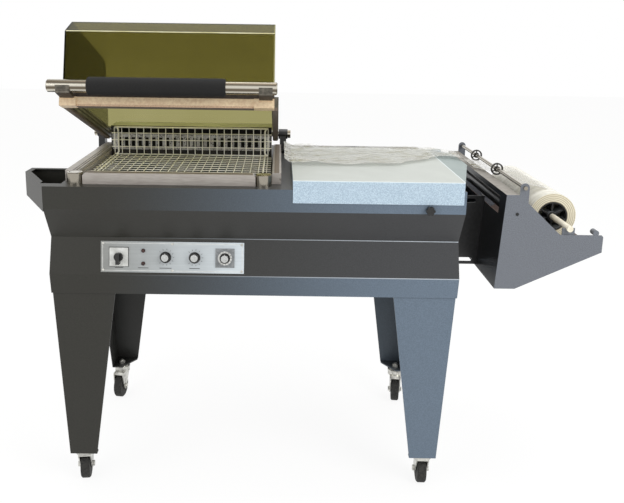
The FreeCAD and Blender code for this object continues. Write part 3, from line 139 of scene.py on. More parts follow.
def hammer_enamel(name, left, right, upright_right, folds=(), speck=0.10, roughness=0.42):
    """Two-pack hammer enamel with painted light: paler towards the right-hand end and bluer on upright
    faces, as a painted reflection of light from the right; folds are heights along which a painted
    highlight runs. The real flake is about half a millimetre and is drawn twice as coarse, so that it shows."""
    made, tree, surface = coat(name, right, roughness, 0.0, Specular_IOR_Level=0.35)
    here = shade(tree, "TexCoord").outputs["Object"]
    spread = shade(tree, "SeparateXYZ", {"Vector": here})
    # Painted light: the colour runs from the left tone to the paler right tone along the body.
    painted_light_across = shade(tree, "MapRange", {"Value": spread.outputs["X"], "From Min": corner.x + 0.10,
                                      "From Max": corner.x + 0.95}, interpolation_type="SMOOTHSTEP")
    facing = shade(tree, "SeparateXYZ", {"Vector": shade(tree, "NewGeometry").outputs["Normal"]})
    level = shade(tree, "Math", {0: facing.outputs["Z"]}, operation="ABSOLUTE")
    # Painted reflection: upright faces are painted bluer towards the right.
    stands = shade(tree, "MapRange", {"Value": level.outputs[0], "From Min": 0.05, "From Max": 0.14,
                                      "To Min": 1.0, "To Max": 0.0}, interpolation_type="SMOOTHSTEP")
    calm = shade(tree, "Mix", {0: painted_light_across.outputs[0], 6: tone(left), 7: tone(right)}, data_type="RGBA")
    bright = shade(tree, "Mix", {0: painted_light_across.outputs[0], 6: tone(left), 7: tone(upright_right)}, data_type="RGBA")
    ground = shade(tree, "Mix", {0: stands.outputs[0], 6: calm.outputs[2], 7: bright.outputs[2]}, data_type="RGBA")
    flake = shade(tree, "TexNoise", {"Vector": here, "Scale": 430.0, "Detail": 2.0, "Roughness": 0.6})
    spark = shade(tree, "MapRange", {"Value": flake.outputs["Fac"], "From Min": 0.38, "From Max": 0.62,
                                     "To Min": 1 - speck, "To Max": 1 + speck})
    speckled = shade(tree, "VectorMath", {0: ground.outputs[2], "Scale": spark.outputs[0]}, operation="SCALE")
    tree.links.new(speckled.outputs[0], surface.inputs["Base Color"])
    colour = speckled.outputs[0]
    # Painted highlights: a pale line along each fold height, stronger towards the right.
    for fold in folds:
        off = shade(tree, "Math", {0: spread.outputs["Z"], 1: fold}, operation="SUBTRACT")
        gap = shade(tree, "Math", {0: off.outputs[0]}, operation="ABSOLUTE")
        fold_highlight = shade(tree, "MapRange", {"Value": gap.outputs[0], "From Min": 0.0006, "From Max": 0.0014,
                                       "To Min": 0.8, "To Max": 0.0})
        mottle_and_fold_highlight = shade(tree, "Math", {0: fold_highlight.outputs[0], 1: painted_light_across.outputs[0]}, operation="MULTIPLY")
        fold_highlighted = shade(tree, "Mix", {0: mottle_and_fold_highlight.outputs[0], 6: colour, 7: tone("#c3cbd3")}, data_type="RGBA")
        colour = fold_highlighted.outputs[2]
    tree.links.new(colour, surface.inputs["Base Color"])
    relief = shade(tree, "Bump", {"Height": flake.outputs["Fac"], "Distance": 0.0003, "Strength": 0.4})
    tree.links.new(relief.outputs["Normal"], surface.inputs["Normal"])
    return made


def dress(node, *materials, choose=None):
    """Gives a CAD node its materials; choose picks the slot of each face by its centre and normal."""
    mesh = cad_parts[node].data
    mesh.materials.clear()
    for material in materials:
        mesh.materials.append(material)
    for face in mesh.polygons:
        face.material_index = choose(face.center, face.normal) if choose else 0


skirt_top = 0.6
waist = 0.692
# Charcoal hammer enamel: nearly black with a fine blue-grey speckle, painted bluer and paler towards the right as
# painted light, with painted highlights along the folds.
charcoal = hammer_enamel("charcoal_hammer_enamel", "#2b2a25", "#3b3c3e", "#62707f",
                         folds=(skirt_top, waist))
for node in ("body_shell", "side_gutter", "base_pan", "rear_cover"):
    dress(node, charcoal)

# ---------------------------------------------------------------- legs
# Four tapered angles folded from 3 mm steel, bolted under the base pan. The enamel is the
# body's; the two at the back stand in the shade of the pan.
# The same enamel on the far legs, painted darker as painted shade.
shaded = hammer_enamel("charcoal_hammer_enamel_shaded", "#2d2d2b", "#41464a", "#4a535c")
for node, finish in (("leg_front_left", charcoal), ("leg_front_right", charcoal),
                     ("leg_back_left", shaded), ("leg_back_right", shaded)):
    dress(node, finish)

# ---------------------------------------------------------------- casters
# Bolt-hole swivel casters: pressed zinc-plated heads, grey forks, moulded black rubber
# wheels and, on the front two, a grey nylon brake pedal.


def grained(name, low, high, grain_mm, roughness, metallic=0.0, relief_mm=0.0, stretch=(1, 1, 1), **sockets):
    """A finish that wanders between two colours over a grain of a real size, with relief. A noise
    cell reads as a grain of 13/30 of its period, which sets the pattern's scale from millimetres."""
    made, tree, surface = coat(name, low, roughness, metallic, **sockets)
    place = shade(tree, "Mapping", {"Vector": shade(tree, "TexCoord").outputs["Object"], "Scale": stretch})
    grain = shade(tree, "TexNoise", {"Vector": place.outputs[0], "Scale": 1000 * 13 / 30 / grain_mm, "Detail": 3.0,
                                     "Roughness": 0.55})
    spread = shade(tree, "MapRange", {"Value": grain.outputs["Fac"], "From Min": 0.36, "From Max": 0.64})
    shade_of = shade(tree, "Mix", {0: spread.outputs[0], 6: tone(low), 7: tone(high)}, data_type="RGBA")
    tree.links.new(shade_of.outputs[2], surface.inputs["Base Color"])
    if relief_mm:
        relief = shade(tree, "Bump", {"Height": grain.outputs["Fac"], "Distance": relief_mm / 1000, "Strength": 0.6})
        tree.links.new(relief.outputs["Normal"], surface.inputs["Normal"])
    return made


# Zinc plating is bright and a little cloudy; rubber is dull and scuffed; nylon has a fine grain.
zinc = grained("zinc_plated_steel", "#a3a29d", "#dddcd5", 6, 0.32, 0.8)
rubber = grained("moulded_black_rubber", "#131312", "#302f2b", 2, 0.75, relief_mm=0.3)
nylon = grained("grey_moulded_nylon", "#5c5a58", "#7f7c78", 1.5, 0.5, relief_mm=0.1)
dress("caster_heads", zinc)
for place in ("front_left", "front_right", "back_left", "back_right"):
    dress("caster_fork_" + place, zinc)
    dress("caster_wheel_" + place, rubber)
for place in ("front_left", "front_right"):
    dress("caster_brake_" + place, nylon)

# ---------------------------------------------------------------- control panel
# Screen-printed satin stainless plate on the leaning band, with a cam switch, two lamps,
# two potentiometer knobs and a round timer in a square bezel.
lean = math.radians(9.26)
skirt_out = 0.005
switch_x, lamp_x, temperature_x, seal_time_x, timer_x = 0.168, 0.228, 0.283, 0.355, 0.430
panel_middle_x = 0.300
middle = 0.0455
outwards = Vector((0, -math.cos(lean), math.sin(lean)))
# Satin stainless: fine lines along the plate, painted paler towards the right as painted light, little mirror.
satin, tree, surface = coat("satin_stainless_plate", "#b4b7b8", 0.4, 0.25)
here = shade(tree, "TexCoord").outputs["Object"]
painted_light_across = shade(tree, "MapRange", {"Value": shade(tree, "SeparateXYZ", {"Vector": here}).outputs["X"],
                                  "From Min": corner.x + 0.12, "From Max": corner.x + 0.48})
lines = shade(tree, "Mapping", {"Vector": here, "Scale": (4.0, 900.0, 900.0)})
brushed = shade(tree, "TexNoise", {"Vector": lines.outputs[0], "Scale": 1.0, "Detail": 2.0})
clouds = shade(tree, "TexNoise", {"Vector": here, "Scale": 14.0, "Detail": 3.0})
# Painted light: the plate's colour runs from dark grey at the left to pale at the right.
ground = shade(tree, "Mix", {0: painted_light_across.outputs[0], 6: tone("#8b8c89"), 7: tone("#cbd3d8")}, data_type="RGBA")
both = shade(tree, "Math", {0: brushed.outputs["Fac"], 1: clouds.outputs["Fac"]}, operation="ADD")
sheen = shade(tree, "MapRange", {"Value": both.outputs[0], "From Min": 0.7, "From Max": 1.3,
                                 "To Min": 0.92, "To Max": 1.1})
plate = shade(tree, "VectorMath", {0: ground.outputs[2], "Scale": sheen.outputs[0]}, operation="SCALE")
tree.links.new(plate.outputs[0], surface.inputs["Base Color"])
dress("control_panel", satin)
# Moulded ABS in black, white and grey: half matt with a fine moulded texture; the lenses are glossy.
black_plastic = grained("black_moulded_abs", "#0e0e0e", "#212120", 0.8, 0.35, relief_mm=0.05)
white_plastic = grained("white_moulded_abs", "#c3c4c0", "#dcddda", 8, 0.4)
grey_plastic = grained("grey_moulded_abs", "#76797b", "#8b8e90", 3, 0.45)
lens = grained("smoked_lamp_lens", "#1c1413", "#4a2a25", 1, 0.12)
dress("switch_plate", white_plastic, black_plastic, choose=lambda at, normal: 0 if normal.dot(outwards) > 0.9 else 1)
dress("timer_bezel", grey_plastic)
for node in ("switch_handle", "temperature_knob", "seal_time_knob", "timer_knob"):
    dress(node, black_plastic)
dress("indicator_lamps", lens)
# Screen ink is flat and matt; the knobs' caps are spun aluminium with a clear shine.
printed = grained("screen_printed_ink", "#2a2a29", "#3a3a38", 2, 0.6)
silver = grained("spun_aluminium_cap", "#a7a9a8", "#d5d6d4", 1.2, 0.25, 0.7, stretch=(1, 1, 6))
print_height = 0.00012
panel_face = 0.002


def only(piece):
    bpy.ops.object.select_all(action="DESELECT")
    piece.select_set(True)
    bpy.context.view_layer.objects.active = piece


def finished(piece, name, material, body):
    """Names a piece, gives it its finish and lets it ride on its body."""
    piece.name = name
    piece.data.name = name
    piece.data.materials.clear()
    piece.data.materials.append(material)
    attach(piece, body)


def against_panel(piece):
    """Stands a piece drawn flat, with its depth upwards, against the leaning band."""
    only(piece)
    piece.rotation_euler = (math.pi / 2 - lean, 0, 0)
    piece.location = (corner.x, corner.y - skirt_out, skirt_top)
    bpy.ops.object.transform_apply(location=True, rotation=True, scale=True)


def turned_disc(at, radius, low, high, edge):
    """A round part drawn flat: a cylinder with its front edge rounded and its face dished."""
    bpy.ops.object.select_all(action="DESELECT")
    bpy.ops.mesh.primitive_cylinder_add(vertices=40, radius=radius, depth=high - low,
                                        location=(at[0], at[1], (low + high) / 2))
    piece = bpy.context.object
    bpy.ops.object.transform_apply(location=True, rotation=True, scale=True)
    for face in piece.data.polygons:
        face.select = face.normal.z > 0.9
    bpy.ops.object.mode_set(mode="EDIT")
    bpy.ops.mesh.bevel(offset=edge, segments=3)
    bpy.ops.mesh.inset(thickness=radius * 0.15)
    bpy.ops.transform.translate(value=(0, 0, -edge * 0.5))
    bpy.ops.object.mode_set(mode="OBJECT")
    bpy.ops.object.shade_smooth_by_angle(angle=math.radians(35))
    return piece


def bar(at, size, edge):
    """A flat bar drawn flat, with its edges eased."""
    bpy.ops.object.select_all(action="DESELECT")
    bpy.ops.mesh.primitive_cube_add(size=1, location=at)
    piece = bpy.context.object
    piece.scale = size
    bpy.ops.object.transform_apply(location=True, rotation=True, scale=True)
    bpy.ops.object.mode_set(mode="EDIT")
    bpy.ops.mesh.select_all(action="SELECT")
    bpy.ops.mesh.bevel(offset=edge, segments=1)
    bpy.ops.object.mode_set(mode="OBJECT")
    return piece


def joined(pieces):
    bpy.ops.object.select_all(action="DESELECT")
    for piece in pieces:
        piece.select_set(True)
    bpy.context.view_layer.objects.active = pieces[0]
    bpy.ops.object.join()
    return bpy.context.object


cap_radius = 0.0088
pointer_at, pointer_size = 0.0078, (0.0012, 0.0066, 0.0012)
for name, x, front, body in (("temperature", temperature_x, 0.0173, "temperature_dial"),
                             ("seal_time", seal_time_x, 0.0173, "seal_time_dial"),
                             ("timer", timer_x, 0.0223, "timer_dial")):
    cap = turned_disc((x, middle), cap_radius, front - 0.0004, front + 0.0008, 0.0003)
    pointer = bar((x, middle + pointer_at, front + 0.0002), pointer_size, 0.0002)
    cap = joined([cap, pointer])
    against_panel(cap)
    finished(cap, name + "_knob_cap", silver, body)

ring = turned_disc((timer_x, middle), 0.0172, 0.0070, 0.0075, 0.0002)
against_panel(ring)
finished(ring, "timer_ring", white_plastic, "frame")
marks = []
for x, radius, base in ((temperature_x, 0.0195, panel_face), (seal_time_x, 0.0195, panel_face),
                        (timer_x, 0.0158, 0.0074)):
    tick = bar((x, middle - radius, base + print_height / 2), (0.0009, 0.0034, print_height), 0.00002)
    tick.data.transform(Matrix.Translation((x, middle, 0)) @ Matrix.Rotation(math.radians(-45), 4, "Z")
                        @ Matrix.Translation((-x, -middle, 0)))
    only(tick)
    bpy.ops.object.mode_set(mode="EDIT")
    bpy.ops.mesh.select_all(action="SELECT")
    bpy.ops.mesh.spin(steps=10, dupli=True, angle=math.radians(-270), center=(x, middle, 0), axis=(0, 0, 1))
    bpy.ops.object.mode_set(mode="OBJECT")
    marks.append(tick)
legend_s = 0.0185
for x, width in ((switch_x, 0.02), (lamp_x, 0.026), (temperature_x, 0.03), (seal_time_x, 0.026)):
    marks.append(bar((x, legend_s, panel_face + print_height / 2), (width, 0.0016, print_height), 0.00002))
marks = joined(marks)
against_panel(marks)
finished(marks, "panel_marks", printed, "frame")

bpy.ops.object.select_all(action="DESELECT")
bpy.ops.mesh.primitive_plane_add(size=1, location=(panel_middle_x, middle, panel_face + print_height))
line = bpy.context.object
line.scale = (0.346, 0.069, 1)   # 4 mm inside the plate's edge
bpy.ops.object.transform_apply(location=True, rotation=True, scale=True)
bpy.ops.object.mode_set(mode="EDIT")
bpy.ops.mesh.select_all(action="SELECT")
bpy.ops.mesh.inset(thickness=0.0012)
bpy.ops.mesh.delete(type="FACE")
bpy.ops.mesh.select_all(action="SELECT")
bpy.ops.mesh.extrude_region_move(TRANSFORM_OT_translate={"value": (0, 0, -print_height)})
bpy.ops.mesh.select_all(action="SELECT")
bpy.ops.mesh.normals_make_consistent(inside=False)
bpy.ops.object.mode_set(mode="OBJECT")
against_panel(line)
finished(line, "panel_border_line", white_plastic, "frame")

screws = []
for x in (0.1285, panel_middle_x, 0.4715):
    for s in (0.0125, 0.0785):
        head = turned_disc((x, s), 0.0032, panel_face, panel_face + 0.0014, 0.0008)
        screws.append(head)
screws = joined(screws)
against_panel(screws)
finished(screws, "panel_screws", zinc, "frame")

# ---------------------------------------------------------------- chamber, duct and tray
# Galvanised tub with heater and fan under the deck, a cream enamelled air duct behind it with
# a crumpled perforated screen, and the welded tray of ivory-coated wires on top.
# Zinc spangle on new sheet, and the same sheet nearly black, on the tub and on the duct's front face.
galvanised = grained("galvanised_sheet", "#55544f", "#8c8a83", 14, 0.5, 0.5)
near_black_sheet = grained("galvanised_sheet_near_black", "#0e0d0b", "#2a2723", 40, 0.6, 0.3)
dress("chamber_tub", near_black_sheet)
for node in ("fan_impeller", "fan_motor", "heater_elements"):
    dress(node, galvanised)
# Stove enamel: smooth and creamy, faintly yellowed in patches.
cream = grained("cream_stove_enamel", "#bcbd9f", "#d3d5bd", 45, 0.4)
dress("heater_duct", cream, near_black_sheet, choose=lambda at, normal: 1 if normal.y < -0.7 else 0)
# Thin foil, pierced about every 5 mm and crumpled; its creases are painted dark and its ridges painted bright as
# painted glints, and its holes are painted dark as painted shade.
foil, tree, surface = coat("perforated_aluminium_foil", "#9d9a93", 0.35, 0.6)
here = shade(tree, "TexCoord").outputs["Object"]
holes = shade(tree, "TexVoronoi", {"Vector": here, "Scale": 190.0})
creases = shade(tree, "TexNoise", {"Vector": here, "Scale": 60.0, "Detail": 5.0, "Roughness": 0.7})
open_hole = shade(tree, "MapRange", {"Value": holes.outputs["Distance"], "From Min": 0.2, "From Max": 0.4})
# Painted shade in the creases and holes, painted glints on the ridges.
painted_crease_light = shade(tree, "Mix", {0: creases.outputs["Fac"], 6: tone("#55534e"), 7: tone("#dedcd8")}, data_type="RGBA")
pierced = shade(tree, "Mix", {0: open_hole.outputs[0], 6: tone("#46443f"), 7: painted_crease_light.outputs[2]}, data_type="RGBA")
tree.links.new(pierced.outputs[2], surface.inputs["Base Color"])
relief = shade(tree, "Bump", {"Height": creases.outputs["Fac"], "Distance": 0.003, "Strength": 0.8})
tree.links.new(relief.outputs["Normal"], surface.inputs["Normal"])
dress("perforated_screen", foil)
# Dipped plastic coat: ivory, smooth and a little glossy.
ivory = grained("ivory_plastic_coated_wire", "#f0ecda", "#fdfbf2", 20, 0.3)


def bent_wire(start, runs, thickness, bend):
    """A round wire: a circle drawn out along each run and spun round the bend before the next."""
    bpy.ops.object.select_all(action="DESELECT")
    bpy.ops.mesh.primitive_circle_add(vertices=8, radius=thickness / 2, fill_type="NGON", location=start,
                                      rotation=runs[0].to_track_quat("Z", "Y").to_euler())
    piece = bpy.context.object
    bpy.ops.object.transform_apply(location=True, rotation=True, scale=True)
    bpy.ops.object.mode_set(mode="EDIT")
    bpy.ops.mesh.select_all(action="SELECT")
    end = Vector(start)
    for i, run in enumerate(runs):
        ahead = run.normalized()
        last = i == len(runs) - 1
        length = run.length - (bend if i else 0) - (0 if last else bend)
        bpy.ops.mesh.extrude_region_move(TRANSFORM_OT_translate={"value": ahead * length})
        end += ahead * length
        if not last:
            turn = runs[i + 1].normalized()
            centre = end + turn * bend
            bpy.ops.mesh.spin(steps=3, angle=math.pi / 2, center=centre, axis=ahead.cross(turn))
            end = centre + ahead * bend
    bpy.ops.mesh.select_all(action="SELECT")
    bpy.ops.mesh.normals_make_consistent(inside=False)
    bpy.ops.object.mode_set(mode="OBJECT")
    bpy.ops.object.shade_smooth_by_angle(angle=math.radians(50))
    return piece


def row(piece, count, step):
    """Copies a piece along a row, each copy with its own mesh, and joins them."""
    twins = [piece]
    for i in range(1, count):
        twin = piece.copy()
        twin.data = piece.data.copy()
        twin.location = step * i
        bpy.context.scene.collection.objects.link(twin)
        twins.append(twin)
    return joined(twins)


low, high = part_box("mesh_tray")
rim, wire, long_pitch, cross_pitch = 0.005, 0.0023, 0.0208, 0.0286
corner_bend, wire_bend, weld = 0.009, 0.004, 0.001
upright_rows = 3
width, depth, rise = high.x - low.x - rim, high.y - low.y - rim, high.z - low.z - rim
x_run, y_run, z_run = Vector((1, 0, 0)), Vector((0, 1, 0)), Vector((0, 0, 1))
half = rim / 2
borders = []
for y, side in ((low.y + half, y_run * depth), (high.y - half, z_run * rise)):
    borders.append(bent_wire(Vector((low.x + half + width / 2, y, low.z + half)),
                             [x_run * width / 2, side, -x_run * width, -side, x_run * width / 2],
                             rim, corner_bend))
long_count = int(width // long_pitch) + 1
first = low.x + (high.x - low.x - long_pitch * (long_count - 1)) / 2
back_face = high.y - rim
long_wires = row(bent_wire(Vector((first, low.y + weld, low.z + rim - wire / 2)),
                           [y_run * (back_face - low.y), z_run * (rise + weld)], wire, wire_bend),
                 long_count, x_run * long_pitch)
cross_count = int((depth - rim) // cross_pitch)
across_tray = [x_run * (high.x - low.x - 2 * weld)]
cross_wires = row(bent_wire(Vector((low.x + weld, low.y + cross_pitch * 0.9 + wire / 2, low.z + rim - wire * 1.5)),
                            across_tray, wire, 0), cross_count, y_run * cross_pitch)
row_pitch = rise / (upright_rows + 1)
back_rows = row(bent_wire(Vector((low.x + weld, back_face + 0.0006 + wire / 2, low.z + rim + row_pitch)),
                          across_tray, wire, 0), upright_rows, z_run * row_pitch)
tray = joined(borders + [long_wires, cross_wires, back_rows])
finished(tray, "welded_wire_tray", ivory, "tray")
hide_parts("mesh_tray")

# ---------------------------------------------------------------- lower seal frame
# Anodised extrusions on the deck with the PTFE-covered heating band, and two bright turned
# steel posts that the hood's magnets hold.
# Anodised aluminium: dull silver with faint drawing lines; glass cloth: brown with a fine weave.
anodised = grained("natural_anodised_aluminium", "#a19a93", "#b1aba4", 1.5, 0.36, 0.35, stretch=(0.1, 0.1, 1))
for node in ("lower_left_arm", "lower_front_jaw", "lower_right_jaw"):
    dress(node, anodised)
ptfe = grained("ptfe_glass_cloth", "#5f5244", "#75685a", 0.7, 0.5)
dress("seal_bands", ptfe)
# Polished steel with a painted reflection: dark and bright bands of the room are painted into its colour by which way
# each face points, so they follow the curve.
chrome, tree, surface = coat("polished_steel_tube", "#b9b3a6", 0.2, 1.0)
facing = shade(tree, "SeparateXYZ", {"Vector": shade(tree, "NewGeometry").outputs["Normal"]})
bands = shade(tree, "Math", {0: facing.outputs["Z"], 1: 7.0}, operation="MULTIPLY")
waves = shade(tree, "Math", {0: bands.outputs[0]}, operation="SINE")
band = shade(tree, "MapRange", {"Value": waves.outputs[0], "From Min": -0.6, "From Max": 0.8})
painted_reflection_bands = shade(tree, "Mix", {0: band.outputs[0], 6: tone("#6a6153"), 7: tone("#cfcabd")}, data_type="RGBA")
tree.links.new(painted_reflection_bands.outputs[2], surface.inputs["Base Color"])
dress("magnet_posts", chrome)

# ---------------------------------------------------------------- hood
# Smoked acrylic folded over a former and cemented, on two aluminium arms with the beige
# upper jaw, silicone sponge pads and a chromed tube handle with a foam grip.


def smoked(name, low, high):
    """Smoked acrylic: clear, olive, with a very faint haze. The low IOR keeps what is behind in place."""
    made, tree, surface = coat(name, low, 0.04, 0.0, Transmission_Weight=1.0, IOR=1.12)
    haze = shade(tree, "TexNoise", {"Vector": shade(tree, "TexCoord").outputs["Object"], "Scale": 5.0, "Detail": 3.0})
    tint_and_crease_light = shade(tree, "Mix", {0: haze.outputs["Fac"], 6: tone(low), 7: tone(high)}, data_type="RGBA")
    tree.links.new(tint_and_crease_light.outputs[2], surface.inputs["Base Color"])
    return made


acrylic = smoked("smoked_clear_acrylic", "#97925f", "#a39e6f")
# The hood's end walls take a darker copy of the same smoked acrylic.
acrylic_darker_ends = smoked("smoked_clear_acrylic_darker_ends", "#4a4726", "#5a5730")
dress("hood_shell", acrylic, acrylic_darker_ends, choose=lambda at, normal: 1 if abs(normal.x) > 0.9 else 0)
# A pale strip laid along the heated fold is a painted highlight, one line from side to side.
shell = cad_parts["hood_shell"].data
towards_fold = Vector((0, -0.654, 1.254)).normalized()
fold_corner = max((point.co for point in shell.vertices), key=lambda co: co.dot(towards_fold))
low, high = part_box("hood_shell")
seam_width, seam_sink, seam_short = 0.0022, 0.0005, 0.004
seam = bar(Vector(((low.x + high.x) / 2, fold_corner.y, fold_corner.z)) - towards_fold * seam_sink,
           (high.x - low.x - seam_short, seam_width, seam_width), 0.0004)
painted_fold_highlight = grained("acrylic_fold_painted_highlight", "#cfc99a", "#e6e2c0", 20, 0.2)
finished(seam, "hood_fold_line", painted_fold_highlight, "hood")
arm_finish = grained("olive_anodised_aluminium", "#4a4840", "#6a665b", 1.5, 0.4, 0.3, stretch=(1, 0.1, 0.1))
dress("hood_arms", arm_finish)
# Powder coat: satin with orange peel. The ledge behind it is painted dark brown as painted shade, and dull plating
# shows above it.
beige = grained("beige_powder_coat", "#ccb190", "#ddc8a6", 3, 0.45, relief_mm=0.1)
jaw_low, jaw_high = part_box("hood_front_jaw")
ledge_from, brackets_from = 0.5, 0.62
# Painted shade: the recessed ledge is painted dark brown.
ledge_shade = grained("jaw_ledge_painted_shade", "#2b241d", "#3f352b", 3, 0.6)
bracket_finish = grained("dull_plated_bracket", "#4b4740", "#6c675d", 4, 0.35, 0.6)


def jaw_face(at, normal):
    """Beige on the lower bar, dark brown painted shade on the recessed ledge behind it, dull plating on the handle
    brackets.
    """
    height = (at.z - jaw_low.z) / (jaw_high.z - jaw_low.z)
    if height > brackets_from:
        return 2
    return 1 if height > ledge_from else 0


dress("hood_front_jaw", beige, ledge_shade, bracket_finish, choose=jaw_face)
# Sponge is matt with fine pores; the side pads lie in shade and are dusty.
sponge = grained("beige_silicone_sponge", "#a98c72", "#cdb093", 1.2, 0.85)
shaded_sponge = grained("beige_silicone_sponge_shaded", "#5c5148", "#756a5f", 1.2, 0.85)
dress("jaw_pads", sponge, shaded_sponge, choose=lambda at, normal: 0 if at.y < jaw_low.y + 0.05 else 1)
dress("handle_tube", chrome)
# Closed-cell foam drinks the light; the pores are drawn coarser than they are.
foam = grained("black_closed_cell_foam", "#050505", "#100f0e", 1.2, 0.9, relief_mm=0.4)
dress("handle_grip", foam)
dress("hinge_shaft", chrome)
# Gloss enamel: deep black with soft highlights.
black_enamel = grained("black_gloss_enamel", "#070708", "#19191a", 4, 0.3, relief_mm=0.1)
dress("hinge_brackets", black_enamel)

# ---------------------------------------------------------------- film table
# Folded 2 mm sheet over the right half of the deck in pale blue-white hammer enamel, with a
# front apron held by a black plastic clamp knob.
table_top = 0.853
wing_start = corner.x + 1.0
# Pale hammer enamel: speckled on the apron; smooth on top, which is painted greyer as painted shade, and darker still
# on the sloping wing; painted highlights along the folds.
pale_enamel, tree, surface = coat("pale_hammer_enamel", "#c4d4e2", 0.45, 0.0, Specular_IOR_Level=0.35)
here = shade(tree, "TexCoord").outputs["Object"]
facing = shade(tree, "SeparateXYZ", {"Vector": shade(tree, "NewGeometry").outputs["Normal"]})
# Painted shade: faces lying flat take the greyer top colours instead of the apron's.
lies = shade(tree, "MapRange", {"Value": facing.outputs["Z"], "From Min": 0.4, "From Max": 0.8})
flake = shade(tree, "TexNoise", {"Vector": here, "Scale": 430.0, "Detail": 2.0, "Roughness": 0.6})
fleck = shade(tree, "MapRange", {"Value": flake.outputs["Fac"], "From Min": 0.38, "From Max": 0.62})
apron = shade(tree, "Mix", {0: fleck.outputs[0], 6: tone("#9bafc1"), 7: tone("#bfd1dd")}, data_type="RGBA")
spread = shade(tree, "SeparateXYZ", {"Vector": here})
past = shade(tree, "MapRange", {"Value": spread.outputs["X"],
                                "From Min": wing_start, "From Max": wing_start + 0.003})
mottle_and_fold_highlight = shade(tree, "TexNoise", {"Vector": here, "Scale": 16.0, "Detail": 3.0})
# The top and the sloping wing are painted greyer and darker as painted shade; the noise only mottles them.
flat = shade(tree, "Mix", {0: mottle_and_fold_highlight.outputs["Fac"], 6: tone("#b4b8b2"), 7: tone("#c2c6c0")}, data_type="RGBA")
wing = shade(tree, "Mix", {0: mottle_and_fold_highlight.outputs["Fac"], 6: tone("#8a9694"), 7: tone("#98a3a0")}, data_type="RGBA")
top = shade(tree, "Mix", {0: past.outputs[0], 6: flat.outputs[2], 7: wing.outputs[2]}, data_type="RGBA")
whole = shade(tree, "Mix", {0: lies.outputs[0], 6: apron.outputs[2], 7: top.outputs[2]}, data_type="RGBA")
colour = whole.outputs[2]
# Painted highlights: pale lines along the apron's top fold and along the wing's fold.
for axis, fold in (("Z", table_top - 0.0008), ("X", wing_start)):
    off = shade(tree, "Math", {0: spread.outputs[axis], 1: fold}, operation="SUBTRACT")
    gap = shade(tree, "Math", {0: off.outputs[0]}, operation="ABSOLUTE")
    fold_highlight = shade(tree, "MapRange", {"Value": gap.outputs[0], "From Min": 0.0006, "From Max": 0.0014,
                                   "To Min": 1.0, "To Max": 0.0})
    only_here = shade(tree, "Math", {0: lies.outputs[0], 1: 0.0 if axis == "Z" else 1.0}, operation="COMPARE")
    share = shade(tree, "Math", {0: fold_highlight.outputs[0], 1: only_here.outputs[0]}, operation="MULTIPLY")
    fold_highlighted = shade(tree, "Mix", {0: share.outputs[0], 6: colour, 7: tone("#e3ecee")}, data_type="RGBA")
    colour = fold_highlighted.outputs[2]
tree.links.new(colour, surface.inputs["Base Color"])
relief = shade(tree, "Bump", {"Height": flake.outputs["Fac"], "Distance": 0.0003, "Strength": 0.4})
tree.links.new(relief.outputs["Normal"], surface.inputs["Normal"])
table = bpy.data.objects.new("folded_film_table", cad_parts["film_table"].data.copy())
bpy.context.scene.collection.objects.link(table)
only(table)
bpy.ops.object.mode_set(mode="EDIT")
bpy.ops.mesh.select_all(action="SELECT")
bpy.ops.mesh.remove_doubles(threshold=0.00001)
bpy.ops.mesh.select_all(action="SELECT")
bpy.ops.mesh.bisect(plane_co=(0, 0, table_top + 0.0002), plane_no=(0, 0, 1), clear_outer=True, use_fill=True)
bpy.ops.mesh.select_all(action="SELECT")
bpy.ops.mesh.dissolve_limited(angle_limit=math.radians(0.5))
bpy.ops.object.mode_set(mode="OBJECT")
finished(table, "folded_film_table", pale_enamel, "frame")
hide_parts("film_table")
dress("table_clamp", black_plastic)

# ---------------------------------------------------------------- unwinder
# Folded sheet trough on two slotted brackets: light hammer enamel side plates, black inside,
# with the perforator rod, idler, and the film roll on a steel shaft.
# Blue-grey hammer enamel with a coarse speckle; brown primer inside, and on the top flanges a brown-grey painted
# reflection of the film.
# Through hammer_enamel the plates are painted slightly paler towards the right and on upright faces, as painted
# light.
speckled = hammer_enamel("blue_grey_hammer_enamel", "#65686d", "#696c72", "#6c7077", speck=0.17)
dress("unwinder_side_plates", speckled)
brown = grained("primed_sheet_steel_brown", "#5a4a44", "#6d5c54", 5, 0.5)
painted_film_reflection = grained("sheet_steel_painted_film_reflection", "#858078", "#98938a", 8, 0.5)


def wrap_face(at, normal):
    """Black outside and on the walls, a brown-grey painted reflection of the film on the top flanges, brown primer on
    the trough's floor.
    """
    if normal.z > 0.9 and at.z > 0.79:
        return 1
    return 2 if normal.z > 0.5 else 0


dress("unwinder_wrap", black_enamel, painted_film_reflection, brown, choose=wrap_face)
dress("unwinder_brackets", black_enamel)
# Black zinc on the perforator wheels, ivory paint on the roll's shaft.
dark_plated = grained("black_zinc_plated_steel", "#2d2c2a", "#4a4844", 3, 0.4, 0.4)
dress("perforator_rod", chrome)
for node in ("perforator_wheel_front", "perforator_wheel_back"):
    dress(node, dark_plated)
shaft_paint = grained("ivory_painted_shaft", "#e3dbc6", "#f4edda", 10, 0.35)
dress("roll_shaft", shaft_paint)
dress("idler_roller", black_enamel)
# The cones' upward-facing faces are grey as a painted highlight on the black cones.
dress("roll_cones", black_plastic, grey_plastic,
      choose=lambda at, normal: 1 if abs(normal.y) < 0.1 and normal.z > 0.2 else 0)
low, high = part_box("film_roll")
hub = Vector(((low.x + high.x) / 2, 0, (low.z + high.z) / 2))
